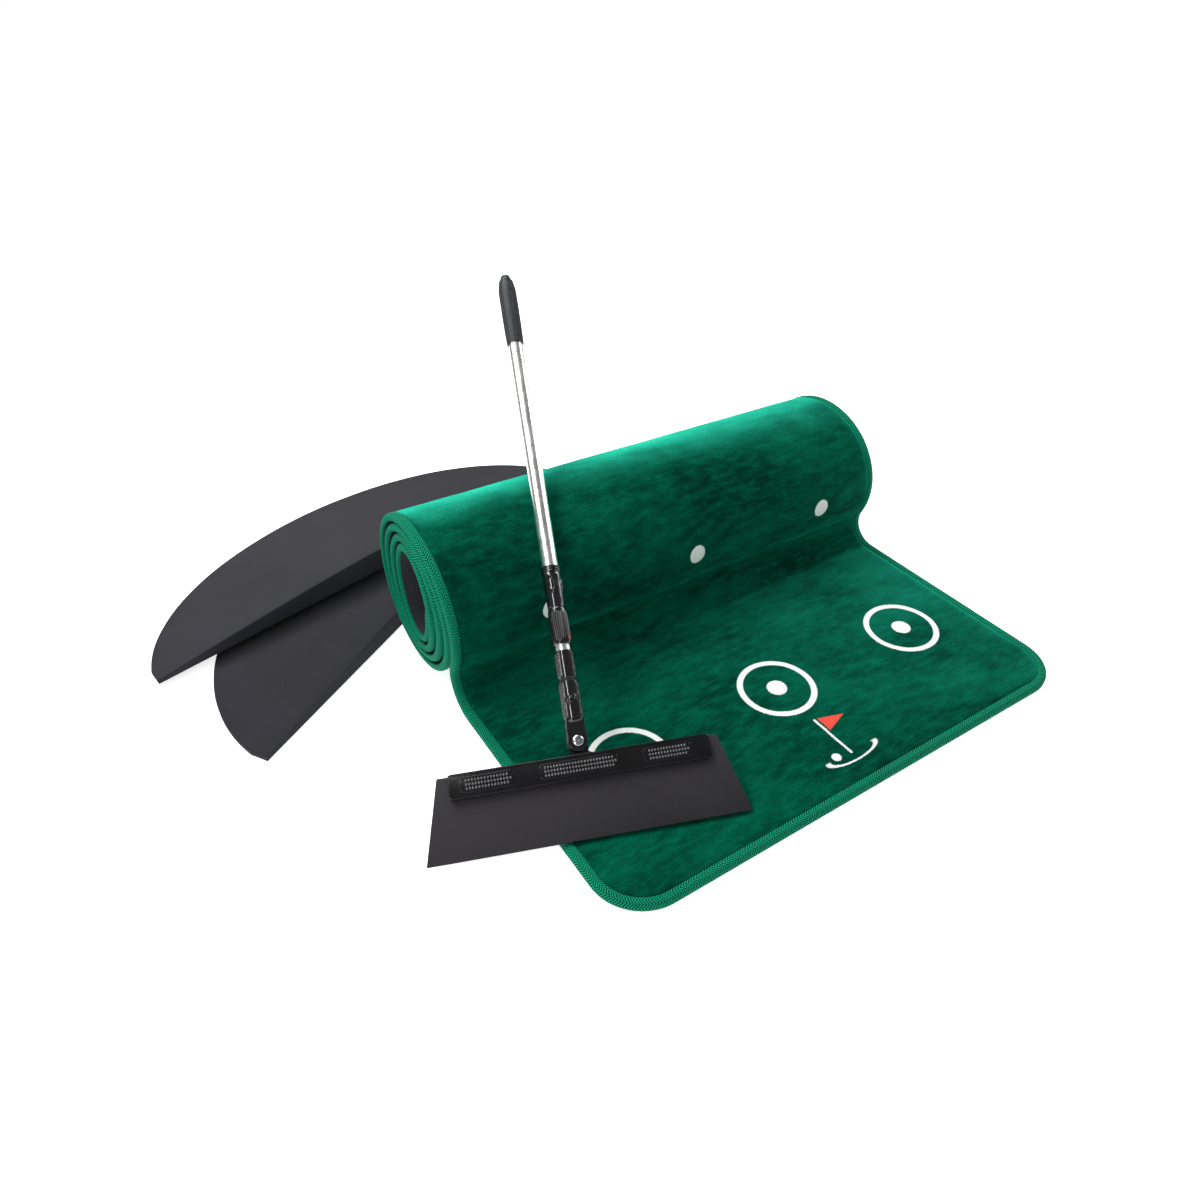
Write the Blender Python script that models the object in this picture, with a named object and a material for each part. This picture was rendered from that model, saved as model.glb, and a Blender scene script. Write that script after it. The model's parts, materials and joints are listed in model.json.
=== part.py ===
"""Practice putting mat, partly rolled up, with its smoothing rake and two foam slope wedges.

The mat is drawn flat, in mat coordinates: x across it, s along it from the front edge and
t up through its thickness from the underside. One function then rolls it up. The rake leans
with its blade on the mat and its pole on the roll. The wedges lie behind the roll, one on
the other. The origin is on the floor, under the middle of the flat tongue of the mat.
"""
import math

import bmesh
import bpy
import numpy as np
from mathutils import Matrix, Vector

GAP = 0.0003                    # clearance between pieces that touch

# Mat
MAT_WIDTH = 0.744
MAT_LENGTH = 2.500
TONGUE_LENGTH = 0.368           # flat part, from the front edge to the bend
CORNER_RADIUS = 0.067
BACKING_THICKNESS = 0.0027
PILE_THICKNESS = 0.0068
BINDING_THICKNESS = 0.0105
BINDING_WIDTH = 0.0130          # how far the tape's top flap covers the edge
BINDING_WALL = 0.0040           # tape outside the backing's edge
BEND_RADIUS = 0.035             # of the pile, where the tongue turns up
CORE_HALF_WIDTH = 0.030         # open middle of the roll
CORE_HALF_HEIGHT = 0.057
TURN_SLACK_SIDE = 0.0092        # air between the turns, front and back
TURN_SLACK_TOP = 0.0006         # least air between the turns, top and bottom
ROLL_TAPER = 0.085              # how much taller the left end of the roll is

# Foam wedges
WEDGE_LENGTH = 0.694
WEDGE_DEPTH = 0.259
WEDGE_HEIGHT = 0.031
WEDGE_RIM = 0.006               # thickness of the thin curved edge
WEDGE_TIP = 0.026               # width of the blunt ends
WEDGE_SHARE = 0.20              # how much of the ellipse the straight edge cuts off
WEDGE_FULLNESS = 1.35           # how quickly the straight edge reaches its full height
LOWER_WEDGE_TURN = math.radians(33.2)
LOWER_WEDGE_OUT = 0.288         # how far its edge stands out past the roll's left end
LOWER_WEDGE_CLEAR = 0.006       # between its edge and the roll's overhang
UPPER_WEDGE_TURN = math.radians(8.1)
UPPER_WEDGE_IN = 0.018          # its middle, in from the roll's left end
UPPER_WEDGE_BACK = 0.065        # its straight edge, behind the roll
UPPER_RISE_RIGHT = 2.41         # its slopes, as multiples of height over length
UPPER_RISE_BACK = -2.40

# Rake head
BLADE_WIDTH = 0.377
BLADE_TOP_WIDTH = 0.3335
BLADE_HEIGHT = 0.0952
BLADE_THICKNESS = 0.0040
CARRIER_LENGTH = 0.310
CARRIER_HEIGHT = 0.0290
CARRIER_FRONT = 0.0060
CARRIER_BACK = 0.0040
CARRIER_LIP = 0.0013            # carrier above the blade's top edge
PAD_HEIGHT = 0.0180
PAD_RAISE = 0.0008
PAD_LENGTHS = (0.064, 0.094, 0.060)
PAD_PLACES = (-0.111, -0.004, 0.102)
TONGUE_FOOT = 0.040
TONGUE_DEPTH = 0.0210
PIVOT_RISE = 0.0157             # pivot above the carrier
EAR_RADIUS = 0.0122
EAR_THICKNESS = 0.0040
WASHER_THICKNESS = 0.0012
PIVOT_SHANK = 0.0027
PIVOT_HEAD = 0.0066
PIVOT_HEAD_HEIGHT = 0.0032
SCREW_SHANK = 0.0020
SCREW_HEAD = 0.0040
SCREW_PLACES = (-0.130, -0.065, -0.012, 0.012, 0.065, 0.130)
SCREW_BITE = 0.0045             # how far it goes into the front carrier
NUT_RADIUS = 0.0058
NUT_HEIGHT = 0.0042

# Pole, measured from the pivot along its length
BARREL_START = 0.0200
BARREL_END = 0.0734
BARREL_WALL = 0.0024            # outside the bore
RING_LENGTH = 0.0037
FERRULE_LENGTH = 0.0357
FERRULE_WALL = 0.0017
BAND_LENGTH = 0.0085            # bright inner tube left in view
KNOB_LENGTH = 0.0480
KNOB_WALL = 0.0022
NOZZLE_LENGTH = 0.0463
NOZZLE_WALL = 0.0015
NOZZLE_TOP_WALL = 0.0015        # outside the outer tube
COLLAR_LENGTH = 0.0096
COLLAR_WALL = 0.0021            # outside the outer tube
OUTER_TUBE_RADIUS = 0.0105
TUBE_WALL = 0.0010
SLEEVE_WALL = 0.0020
SOCKET_DEPTH = 0.024            # each tube's end inside its ferrule or nozzle
COLLET_END = 0.024              # from the knob's lower end
KNOB_FLOOR = 0.006
GRIP_START = 0.5730
GRIP_LENGTH = 0.1255
GRIP_WALL = 0.0019              # outside the outer tube
GRIP_CAP_LENGTH = 0.0130
TELESCOPE_TRAVEL = 0.300
TELESCOPE_HOLD = 0.052          # tube left inside at full stretch
BUTTON_PLACE = 0.0495
BUTTON_RADIUS = 0.0044
BUTTON_PROUD = 0.0014
BUTTON_TRAVEL = 0.0030

# How the rake rests
RAKE_X = -0.3370                # middle of its blade's lower edge
RAKE_FROM_FRONT = 0.1106
RAKE_TURN = math.radians(-20.2)
POLE_SWING = math.radians(1.45)

ROUND = 24                      # sides of a round piece
TURN_STEPS = 28                 # rows of vertices in one turn of the roll
BEND_STEPS = 8
FLAT_STEPS = 6
CORNER_STEPS = 24
CURVE_STEPS = 4                 # points of the path between two rows

MAT_THICKNESS = BACKING_THICKNESS + GAP + PILE_THICKNESS
Y_FRONT = -TONGUE_LENGTH / 2
INNER_TUBE_RADIUS = OUTER_TUBE_RADIUS - TUBE_WALL - GAP
BORE_RADIUS = INNER_TUBE_RADIUS + GAP
BARREL_RADIUS = BORE_RADIUS + BARREL_WALL
FERRULE_RADIUS = BORE_RADIUS + FERRULE_WALL
KNOB_RADIUS = BORE_RADIUS + KNOB_WALL
NOZZLE_RADIUS = BORE_RADIUS + NOZZLE_WALL
NOZZLE_TOP_RADIUS = OUTER_TUBE_RADIUS + NOZZLE_TOP_WALL
COLLAR_RADIUS = OUTER_TUBE_RADIUS + COLLAR_WALL
GRIP_RADIUS = OUTER_TUBE_RADIUS + GRIP_WALL
RING_END = BARREL_END + RING_LENGTH
FERRULE_END = RING_END + FERRULE_LENGTH
KNOB_START = FERRULE_END + BAND_LENGTH
KNOB_END = KNOB_START + KNOB_LENGTH
NOZZLE_START = KNOB_END + 4 * GAP
NOZZLE_END = NOZZLE_START + NOZZLE_LENGTH
COLLAR_START = NOZZLE_END + GAP
GRIP_END = GRIP_START + GRIP_LENGTH
LOWER_SOCKET = FERRULE_END - SOCKET_DEPTH
UPPER_SOCKET = NOZZLE_END - SOCKET_DEPTH
PIVOT_HEIGHT = BLADE_HEIGHT + CARRIER_LIP + PIVOT_RISE


# ---------------------------------------------------------------- helpers

def material(name, color, roughness, metallic=0.0):
    mat = bpy.data.materials.new(name)
    mat.use_nodes = True
    shader = mat.node_tree.nodes["Principled BSDF"]
    shader.inputs["Base Color"].default_value = (*color, 1.0)
    shader.inputs["Roughness"].default_value = roughness
    shader.inputs["Metallic"].default_value = metallic
    return mat


def add_empty(name, matrix):
    empty = bpy.data.objects.new(name, None)
    bpy.context.scene.collection.objects.link(empty)
    empty.matrix_world = matrix
    return empty


def add_object(name, bm, mat, parent=None, sharp=35):
    bmesh.ops.recalc_face_normals(bm, faces=bm.faces)
    mesh = bpy.data.meshes.new(name)
    bm.to_mesh(mesh)
    bm.free()
    mesh.shade_smooth()
    mesh.set_sharp_from_angle(angle=math.radians(sharp))
    obj = bpy.data.objects.new(name, mesh)
    if mat:
        mesh.materials.append(mat)
    bpy.context.scene.collection.objects.link(obj)
    obj.parent = parent
    return obj


def add_tool(name, bm, parent=None):
    """A shape that only cuts or adds to another object."""
    tool = add_object(name, bm, None, parent)
    tool.hide_render = True
    tool.display_type = "WIRE"
    return tool


def combine(obj, tool, operation="DIFFERENCE"):
    mod = obj.modifiers.new(tool.name, "BOOLEAN")
    mod.operation = operation
    mod.object = tool
    mod.solver = "EXACT"


def turned(profile, steps=ROUND, axis="Y"):
    """Solid of revolution. The profile is a ring of (radius, height) points."""
    bm = bmesh.new()
    up = Vector((0, 1, 0)) if axis == "Y" else Vector((0, 0, 1))
    verts = [bm.verts.new(Vector((r, 0, 0)) + up * h) for r, h in profile]
    closed = not (profile[0][0] == 0 and profile[-1][0] == 0)
    pairs = list(zip(verts, verts[1:] + verts[:1])) if closed else list(zip(verts, verts[1:]))
    edges = [bm.edges.new(pair) for pair in pairs]
    bmesh.ops.spin(bm, geom=verts + edges, cent=(0, 0, 0), axis=up, dvec=(0, 0, 0),
                   angle=2 * math.pi, steps=steps, use_merge=True, use_duplicate=False)
    bmesh.ops.remove_doubles(bm, verts=bm.verts, dist=1e-6)
    return bm


def rod(radius, low, high, steps=ROUND, axis="Y"):
    return turned([(0, low), (radius, low), (radius, high), (0, high)], steps, axis)


def pipe(radius, bore, low, high, steps=ROUND, axis="Y"):
    return turned([(bore, low), (radius, low), (radius, high), (bore, high)], steps, axis)


def plate(outline, low, high):
    """A flat outline in x and y, given thickness in z."""
    bm = bmesh.new()
    face = bm.faces.new([bm.verts.new((x, y, low)) for x, y in outline])
    grown = bmesh.ops.extrude_face_region(bm, geom=[face])
    verts = [v for v in grown["geom"] if isinstance(v, bmesh.types.BMVert)]
    bmesh.ops.translate(bm, verts=verts, vec=(0, 0, high - low))
    return bm


def arc(cx, cy, radius, start, end, steps):
    """Points on an arc, angles in degrees."""
    angles = [math.radians(start + (end - start) * i / steps) for i in range(steps + 1)]
    return [(cx + radius * math.cos(a), cy + radius * math.sin(a)) for a in angles]


def rounded_box(cx, cy, width, height, radius, steps=4):
    x, y = width / 2 - radius, height / 2 - radius
    points = []
    for i, (sx, sy) in enumerate(((1, 1), (-1, 1), (-1, -1), (1, -1))):
        points += arc(cx + sx * x, cy + sy * y, radius, 90 * i, 90 * i + 90, steps)
    return points


def moved(bm, vec):
    bmesh.ops.translate(bm, verts=bm.verts, vec=vec)
    return bm


# ---------------------------------------------------------------- rolled mat

class Roll:
    """The mat's underside, seen from its left end, as a path in y and z.

    It runs along the floor, turns up through the bend and winds inward: up the front, over
    the top, down the back. The core and the turn pitch are given; the outer size follows
    from the length of mat that is left to wind.
    """

    def __init__(self):
        self.pitch_y = BINDING_THICKNESS + TURN_SLACK_SIDE
        self.pitch_z = (BINDING_THICKNESS + TURN_SLACK_TOP) / (1 - ROLL_TAPER / 2)
        low, high = 0.5, 40.0
        for _ in range(50):
            turns = (low + high) / 2
            self.lay(turns)
            if self.s[-1] < MAT_LENGTH:
                low = turns
            else:
                high = turns
        self.s[-1] = MAT_LENGTH

    def lay(self, turns):
        self.turns = turns
        full = 2 * math.pi
        under = MAT_THICKNESS + BEND_RADIUS
        half_z = CORE_HALF_HEIGHT + self.pitch_z * turns
        drop = 0.45
        for _ in range(30):
            rise = half_z - self.pitch_z * (0.75 * full + drop) / full + BINDING_THICKNESS
            drop = math.asin((rise - under) / (half_z + under))
        half_y = CORE_HALF_WIDTH + self.pitch_y * turns
        turn_up = np.linspace(0, math.pi / 2 + drop, BEND_STEPS * CURVE_STEPS + 1)
        bend_y = TONGUE_LENGTH + under * np.sin(turn_up)
        bend_z = under * (1 - np.cos(turn_up))
        self.centre_y = bend_y[-1] + half_y * math.cos(drop)
        self.centre_z = rise
        angle = np.linspace(-drop, turns * full - drop, int(turns * TURN_STEPS) * CURVE_STEPS + 1)
        left = turns - (angle + drop) / full
        self.half_y = half_y
        wind_y = self.centre_y - (CORE_HALF_WIDTH + self.pitch_y * left) * np.cos(angle)
        wind_z = self.centre_z + (CORE_HALF_HEIGHT + self.pitch_z * left) * np.sin(angle)
        flat = np.linspace(0, TONGUE_LENGTH, FLAT_STEPS + 1)
        self.y = np.concatenate([flat[:-1], bend_y[:-1], wind_y])
        self.z = np.concatenate([flat[:-1] * 0, bend_z[:-1], wind_z])
        steps = np.hypot(np.diff(self.y), np.diff(self.z))
        self.s = np.concatenate([[0], np.cumsum(steps)])
        lead_y, lead_z = np.gradient(self.y, self.s), np.gradient(self.z, self.s)
        size = np.hypot(lead_y, lead_z)
        self.lead_y, self.lead_z = lead_y / size, lead_z / size

    def place(self, x, s, t):
        """World position of a point of the flat mat."""
        y, z = np.interp(s, self.s, self.y), np.interp(s, self.s, self.z)
        lead_y, lead_z = np.interp(s, self.s, self.lead_y), np.interp(s, self.s, self.lead_z)
        size = math.hypot(lead_y, lead_z)
        z += max(0.0, z - BINDING_THICKNESS) * -ROLL_TAPER * x / MAT_WIDTH
        return Vector((x, Y_FRONT + y - t * lead_z / size, z + t * lead_y / size))

    def wrap(self, bm):
        for vert in bm.verts:
            vert.co = self.place(*vert.co)
        return bm

    def stations(self):
        """Places along the mat between the corners, the same for every layer."""
        low, high = CORNER_RADIUS, MAT_LENGTH - CORNER_RADIUS
        rows = np.concatenate([self.s[:FLAT_STEPS], self.s[FLAT_STEPS::CURVE_STEPS]])
        inner = [s for s in rows if low + 0.004 < s < high - 0.004]
        return [low] + inner + [high]


ROLL = Roll()


def corner_angles():
    return [math.pi / 2 * i / CORNER_STEPS for i in range(CORNER_STEPS + 1)]


def layer_rows(inset):
    """Rows of a layer with rounded corners: place along the mat and half its width."""
    radius = CORNER_RADIUS - inset
    side = MAT_WIDTH / 2 - CORNER_RADIUS
    near = [(inset + radius * (1 - math.cos(a)), side + radius * math.sin(a)) for a in corner_angles()]
    far = [(MAT_LENGTH - s, half) for s, half in reversed(near)]
    middle = [(s, side + radius) for s in ROLL.stations()[1:-1]]
    return near + middle + far


def mat_layer(name, inset, low, high, mat):
    rows = layer_rows(inset)
    bm = bmesh.new()
    bmesh.ops.create_grid(bm, x_segments=1, y_segments=len(rows) - 1, size=1)
    for vert in bm.verts:
        row = round((vert.co.y + 1) / 2 * (len(rows) - 1))
        s, half = rows[row]
        vert.co = Vector((half * vert.co.x, s, low))
    grown = bmesh.ops.extrude_face_region(bm, geom=list(bm.faces))
    verts = [v for v in grown["geom"] if isinstance(v, bmesh.types.BMVert)]
    bmesh.ops.translate(bm, verts=verts, vec=(0, 0, high - low))
    return add_object(name, ROLL.wrap(bm), mat)


def binding_path():
    """The mat's outline as (corner centre or edge point, direction inward)."""
    side = MAT_WIDTH / 2 - CORNER_RADIUS
    quarter = []
    for a in corner_angles():
        quarter.append((side, CORNER_RADIUS, -math.sin(a), math.cos(a)))
    right = [(side, s, -1.0, 0.0) for s in ROLL.stations()[1:-1]]
    far = [(x, MAT_LENGTH - s, nx, -ns) for x, s, nx, ns in reversed(quarter)]
    path = quarter + right + far
    return path + [(-x, s, -nx, ns) for x, s, nx, ns in reversed(path)]


def edge_binding(mat):
    """Tape round the whole edge: a wall outside the backing and a flap over it."""
    path = binding_path()
    flap = BACKING_THICKNESS + GAP
    top, wide, crown = BINDING_THICKNESS, BINDING_WIDTH, 0.0022
    middle = (BINDING_WALL + wide) / 2
    profile = [(0.0008, 0), (BINDING_WALL, 0), (BINDING_WALL, flap), (middle, flap), (wide, flap),
               (wide, top - crown), (wide - crown, top), (crown, top), (0, top - 1.4 * crown),
               (0, 0.0008)]
    count = len(path)
    bm = bmesh.new()
    bmesh.ops.create_grid(bm, x_segments=count, y_segments=len(profile), size=1)
    for vert in bm.verts:
        i = round((vert.co.x + 1) / 2 * count) % count
        j = round((vert.co.y + 1) / 2 * len(profile)) % len(profile)
        x, s, nx, ns = path[i]
        inward, height = profile[j]
        out = inward - CORNER_RADIUS
        vert.co = Vector((x + nx * out, s + ns * out, height))
    bmesh.ops.remove_doubles(bm, verts=bm.verts, dist=1e-6)
    return add_object("edge_binding", ROLL.wrap(bm), mat, sharp=50)


def build_mat(colors):
    mat_layer("backing_layer", BINDING_WALL + GAP, 0, BACKING_THICKNESS, colors["backing"])
    mat_layer("turf_pile", BINDING_WIDTH + GAP, BACKING_THICKNESS + GAP, MAT_THICKNESS, colors["pile"])
    edge_binding(colors["binding"])


# ---------------------------------------------------------------- foam wedges

def wedge_depth(x):
    """Depth of the wedge from its straight edge, at a place along that edge."""
    half = WEDGE_LENGTH / 2
    reach = half / math.sqrt(1 - WEDGE_SHARE ** 2)
    full = (WEDGE_DEPTH - WEDGE_TIP) / (1 - WEDGE_SHARE)
    return WEDGE_TIP + full * (math.sqrt(1 - (x / reach) ** 2) - WEDGE_SHARE)


def wedge_height(x, y):
    half = WEDGE_LENGTH / 2
    edge = WEDGE_RIM + (WEDGE_HEIGHT - WEDGE_RIM) * (1 - abs(x / half) ** WEDGE_FULLNESS)
    return WEDGE_RIM + (edge - WEDGE_RIM) * (1 - y / wedge_depth(x))


def wedge_plan(along, across):
    """Place on the wedge from two shares, 0 to 1. The ends have closer columns."""
    x = -WEDGE_LENGTH / 2 * math.cos(math.pi * along)
    return x, across * wedge_depth(x)


def wedge_solid():
    bm = bmesh.new()
    columns, rows = 28, 5
    bmesh.ops.create_grid(bm, x_segments=columns, y_segments=rows, size=1)
    for vert in bm.verts:
        x, y = wedge_plan((vert.co.x + 1) / 2, (vert.co.y + 1) / 2)
        vert.co = Vector((x, y, 0))
    grown = bmesh.ops.extrude_face_region(bm, geom=list(bm.faces))
    for vert in (v for v in grown["geom"] if isinstance(v, bmesh.types.BMVert)):
        vert.co.z = wedge_height(vert.co.x, vert.co.y)
    return bm


def roll_back(height):
    """How far back the roll's left end reaches, up to a height above the floor."""
    turn = 2 * math.pi * ROLL.half_y
    start = TONGUE_LENGTH + BEND_RADIUS
    points = [ROLL.place(-MAT_WIDTH / 2, s, BINDING_THICKNESS)
              for s in np.linspace(start + 0.3 * turn, start + 0.9 * turn, 300)]
    return max(point.y for point in points if point.z < height)


def lower_wedge_matrix():
    edge_line = roll_back(WEDGE_HEIGHT) + LOWER_WEDGE_CLEAR
    pass_by = Vector((-MAT_WIDTH / 2, edge_line, 0))
    edge = Vector((math.cos(LOWER_WEDGE_TURN), math.sin(LOWER_WEDGE_TURN), 0))
    middle = pass_by + edge * (WEDGE_LENGTH / 2 - LOWER_WEDGE_OUT)
    return Matrix.Translation(middle) @ Matrix.Rotation(LOWER_WEDGE_TURN, 4, "Z")


def upper_wedge_matrix(lower):
    """The upper wedge lies tilted on the lower one and on the floor."""
    edge_line = roll_back(2 * ROLL.half_y) + UPPER_WEDGE_BACK
    middle = Vector((-MAT_WIDTH / 2 + UPPER_WEDGE_IN, edge_line, 0))
    slope = WEDGE_HEIGHT / WEDGE_LENGTH
    right = math.atan(slope * UPPER_RISE_RIGHT)
    back = math.atan(slope * UPPER_RISE_BACK)
    tilt = Matrix.Rotation(-right, 4, "Y") @ Matrix.Rotation(back, 4, "X")
    pose = Matrix.Translation(middle) @ tilt @ Matrix.Rotation(UPPER_WEDGE_TURN, 4, "Z")
    into_lower = lower.inverted()
    lift = 0.0
    for i in range(81):
        for j in range(31):
            spot = pose @ Vector((*wedge_plan(i / 80, j / 30), 0))
            below = into_lower @ spot
            ground = 0.0
            if abs(below.x) < WEDGE_LENGTH / 2 and 0 < below.y < wedge_depth(below.x):
                ground = wedge_height(below.x, below.y) + 2 * GAP
            lift = max(lift, ground - spot.z)
    return Matrix.Translation((0, 0, lift)) @ pose


def build_wedges(colors):
    lower = lower_wedge_matrix()
    upper = upper_wedge_matrix(lower)
    for name, matrix in (("foam_wedge_lower", lower), ("foam_wedge_upper", upper)):
        obj = add_object(name, wedge_solid(), colors["foam"])
        obj.matrix_world = matrix


# ---------------------------------------------------------------- rake

def rake_axes(lean):
    """Directions along the blade's edge, up the blade and out of its face."""
    edge = Vector((math.cos(RAKE_TURN), math.sin(RAKE_TURN), 0))
    back = Vector((-edge.y, edge.x, 0))
    up = back * math.cos(lean) + Vector((0, 0, math.sin(lean)))
    return edge, up, edge.cross(up)


def rake_pivot(lean):
    """The blade's lower edge rests on the binding tape."""
    up = rake_axes(lean)[1]
    rest = BINDING_THICKNESS + GAP + BLADE_THICKNESS / 2 * math.cos(lean)
    return Vector((RAKE_X, Y_FRONT + RAKE_FROM_FRONT, rest)) + up * PIVOT_HEIGHT


def roll_surface():
    """Points over the outermost turn's pile, near the left half of the roll."""
    points = []
    bend_end = TONGUE_LENGTH + BEND_RADIUS
    turn = 2 * math.pi * ROLL.half_y
    for s in np.linspace(bend_end, bend_end + 0.6 * turn, 160):
        for x in np.linspace(-MAT_WIDTH / 2, 0, 90):
            points.append(ROLL.place(x, s, MAT_THICKNESS))
    return np.array(points)


def rake_lean():
    """The lean at which the pole's widest ring can just slide along the roll."""
    surface = roll_surface()
    widest = max(COLLAR_RADIUS, KNOB_RADIUS, NOZZLE_TOP_RADIUS)
    low, high = math.radians(10), math.radians(75)
    for _ in range(40):
        lean = (low + high) / 2
        edge, up, out = rake_axes(lean)
        along = up * math.cos(POLE_SWING) + edge * math.sin(POLE_SWING)
        side = along.cross(out)
        offset = surface - np.array(rake_pivot(lean))
        far = offset @ np.array(along)
        across = offset @ np.array(side)
        near = (np.abs(across) < widest) & (far > 0)
        height = offset @ np.array(out) + np.sqrt(np.maximum(widest ** 2 - across ** 2, 0))
        if near.any() and height[near].max() > -GAP:
            low = lean
        else:
            high = lean
    return high


def frame_matrix(origin, x, y, z):
    return Matrix.Translation(origin) @ Matrix((x, y, z)).transposed().to_4x4()


def head_places():
    top = -PIVOT_RISE
    return top, top - CARRIER_HEIGHT, top - CARRIER_LIP, top - CARRIER_LIP - BLADE_HEIGHT


def build_head(parent, colors):
    carrier_top, carrier_bottom, blade_top, blade_bottom = head_places()
    half = BLADE_THICKNESS / 2
    shell = half + GAP
    foot = TONGUE_FOOT / 2
    foot_bottom = carrier_top - TONGUE_DEPTH
    notch, notch_bottom = foot + GAP, foot_bottom - GAP
    outline = [(-BLADE_WIDTH / 2, blade_bottom), (BLADE_WIDTH / 2, blade_bottom),
               (BLADE_TOP_WIDTH / 2, blade_top), (notch, blade_top), (notch, notch_bottom),
               (-notch, notch_bottom), (-notch, blade_top), (-BLADE_TOP_WIDTH / 2, blade_top)]
    blade = add_object("rake_blade", plate(outline, -half, half), colors["blade"], parent)

    middle = (carrier_top + carrier_bottom) / 2
    front = add_object("carrier_front", plate(rounded_box(0, middle, CARRIER_LENGTH, CARRIER_HEIGHT, 0.004),
                                              shell, shell + CARRIER_FRONT), colors["plastic"], parent)
    back = add_object("carrier_back", plate(rounded_box(0, middle, CARRIER_LENGTH, CARRIER_HEIGHT, 0.004),
                                            -shell - CARRIER_BACK, -shell), colors["plastic"], parent)
    for i, (place, length) in enumerate(zip(PAD_PLACES, PAD_LENGTHS)):
        outline = rounded_box(place, middle, length, PAD_HEIGHT, 0.004)
        shape = plate(outline, shell + 0.002, shell + CARRIER_FRONT + PAD_RAISE)
        pad = add_tool(f"pad_{i + 1}", shape, parent)
        combine(front, pad, "UNION")

    neck = EAR_RADIUS - 0.0012
    outline = [(-foot, foot_bottom), (foot, foot_bottom)]
    outline += [(foot, carrier_top - 0.001), (neck, carrier_top + 0.003)]
    outline += arc(0, 0, neck, 0, 180, 16)
    outline += [(-neck, carrier_top + 0.003), (-foot, carrier_top - 0.001)]
    tongue = add_object("pivot_tongue", plate(outline, -half, half), colors["plastic"], parent)
    hole = add_tool("pivot_hole", rod(PIVOT_SHANK + GAP, -0.02, 0.02, 24, "Z"), parent)
    combine(tongue, hole)

    depth = shell + SCREW_BITE
    tail = depth - 0.0005
    seat = -shell - CARRIER_BACK - GAP
    for i, place in enumerate(SCREW_PLACES):
        shape = moved(rod(SCREW_SHANK + GAP, -0.02, depth, 16, "Z"), (place, middle, 0))
        cut = add_tool(f"screw_hole_{i + 1}", shape, parent)
        combine(front, cut)
        combine(back, cut)
        combine(tongue if abs(place) < foot else blade, cut)
        profile = [(0, seat - 0.0022), (SCREW_HEAD * 0.7, seat - 0.0022), (SCREW_HEAD, seat - 0.001),
                   (SCREW_HEAD, seat), (SCREW_SHANK, seat), (SCREW_SHANK, tail), (0, tail)]
        shape = moved(turned(profile, 20, "Z"), (place, middle, 0))
        add_object(f"carrier_screw_{i + 1}", shape, colors["steel"], parent)

    washer = half + GAP
    for name, side in (("pivot_washer_front", 1), ("pivot_washer_back", -1)):
        low, high = sorted((side * washer, side * (washer + WASHER_THICKNESS)))
        shape = pipe(EAR_RADIUS - 0.003, PIVOT_SHANK + GAP, low, high, 28, "Z")
        add_object(name, shape, colors["nylon"], parent)

    ear_face = ear_places()[1]
    head, head_top = ear_face + GAP, ear_face + GAP + PIVOT_HEAD_HEIGHT
    nut_face = -ear_face - GAP
    tail = nut_face - NUT_HEIGHT - 0.0012
    profile = [(0, tail), (PIVOT_SHANK, tail), (PIVOT_SHANK, head), (PIVOT_HEAD, head),
               (PIVOT_HEAD, head + 0.0012), (PIVOT_HEAD * 0.72, head_top - 0.0004), (0, head_top)]
    screw = add_object("pivot_screw", turned(profile, 28, "Z"), colors["chrome"], parent)
    for i, (wide, tall) in enumerate(((0.0062, 0.0012), (0.0012, 0.0062))):
        slot = plate(rounded_box(0, 0, wide, tall, 0.0004, 2), head_top - 0.0016, head_top + 0.002)
        combine(screw, add_tool(f"cross_slot_{i + 1}", slot, parent))
    hexagon = arc(0, 0, NUT_RADIUS, 0, 300, 5)
    nut = add_object("pivot_nut", plate(hexagon, nut_face - NUT_HEIGHT, nut_face), colors["steel"], parent)
    combine(nut, hole)


def ear_places():
    inner = BLADE_THICKNESS / 2 + GAP + WASHER_THICKNESS + GAP
    return inner, inner + EAR_THICKNESS


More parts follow.
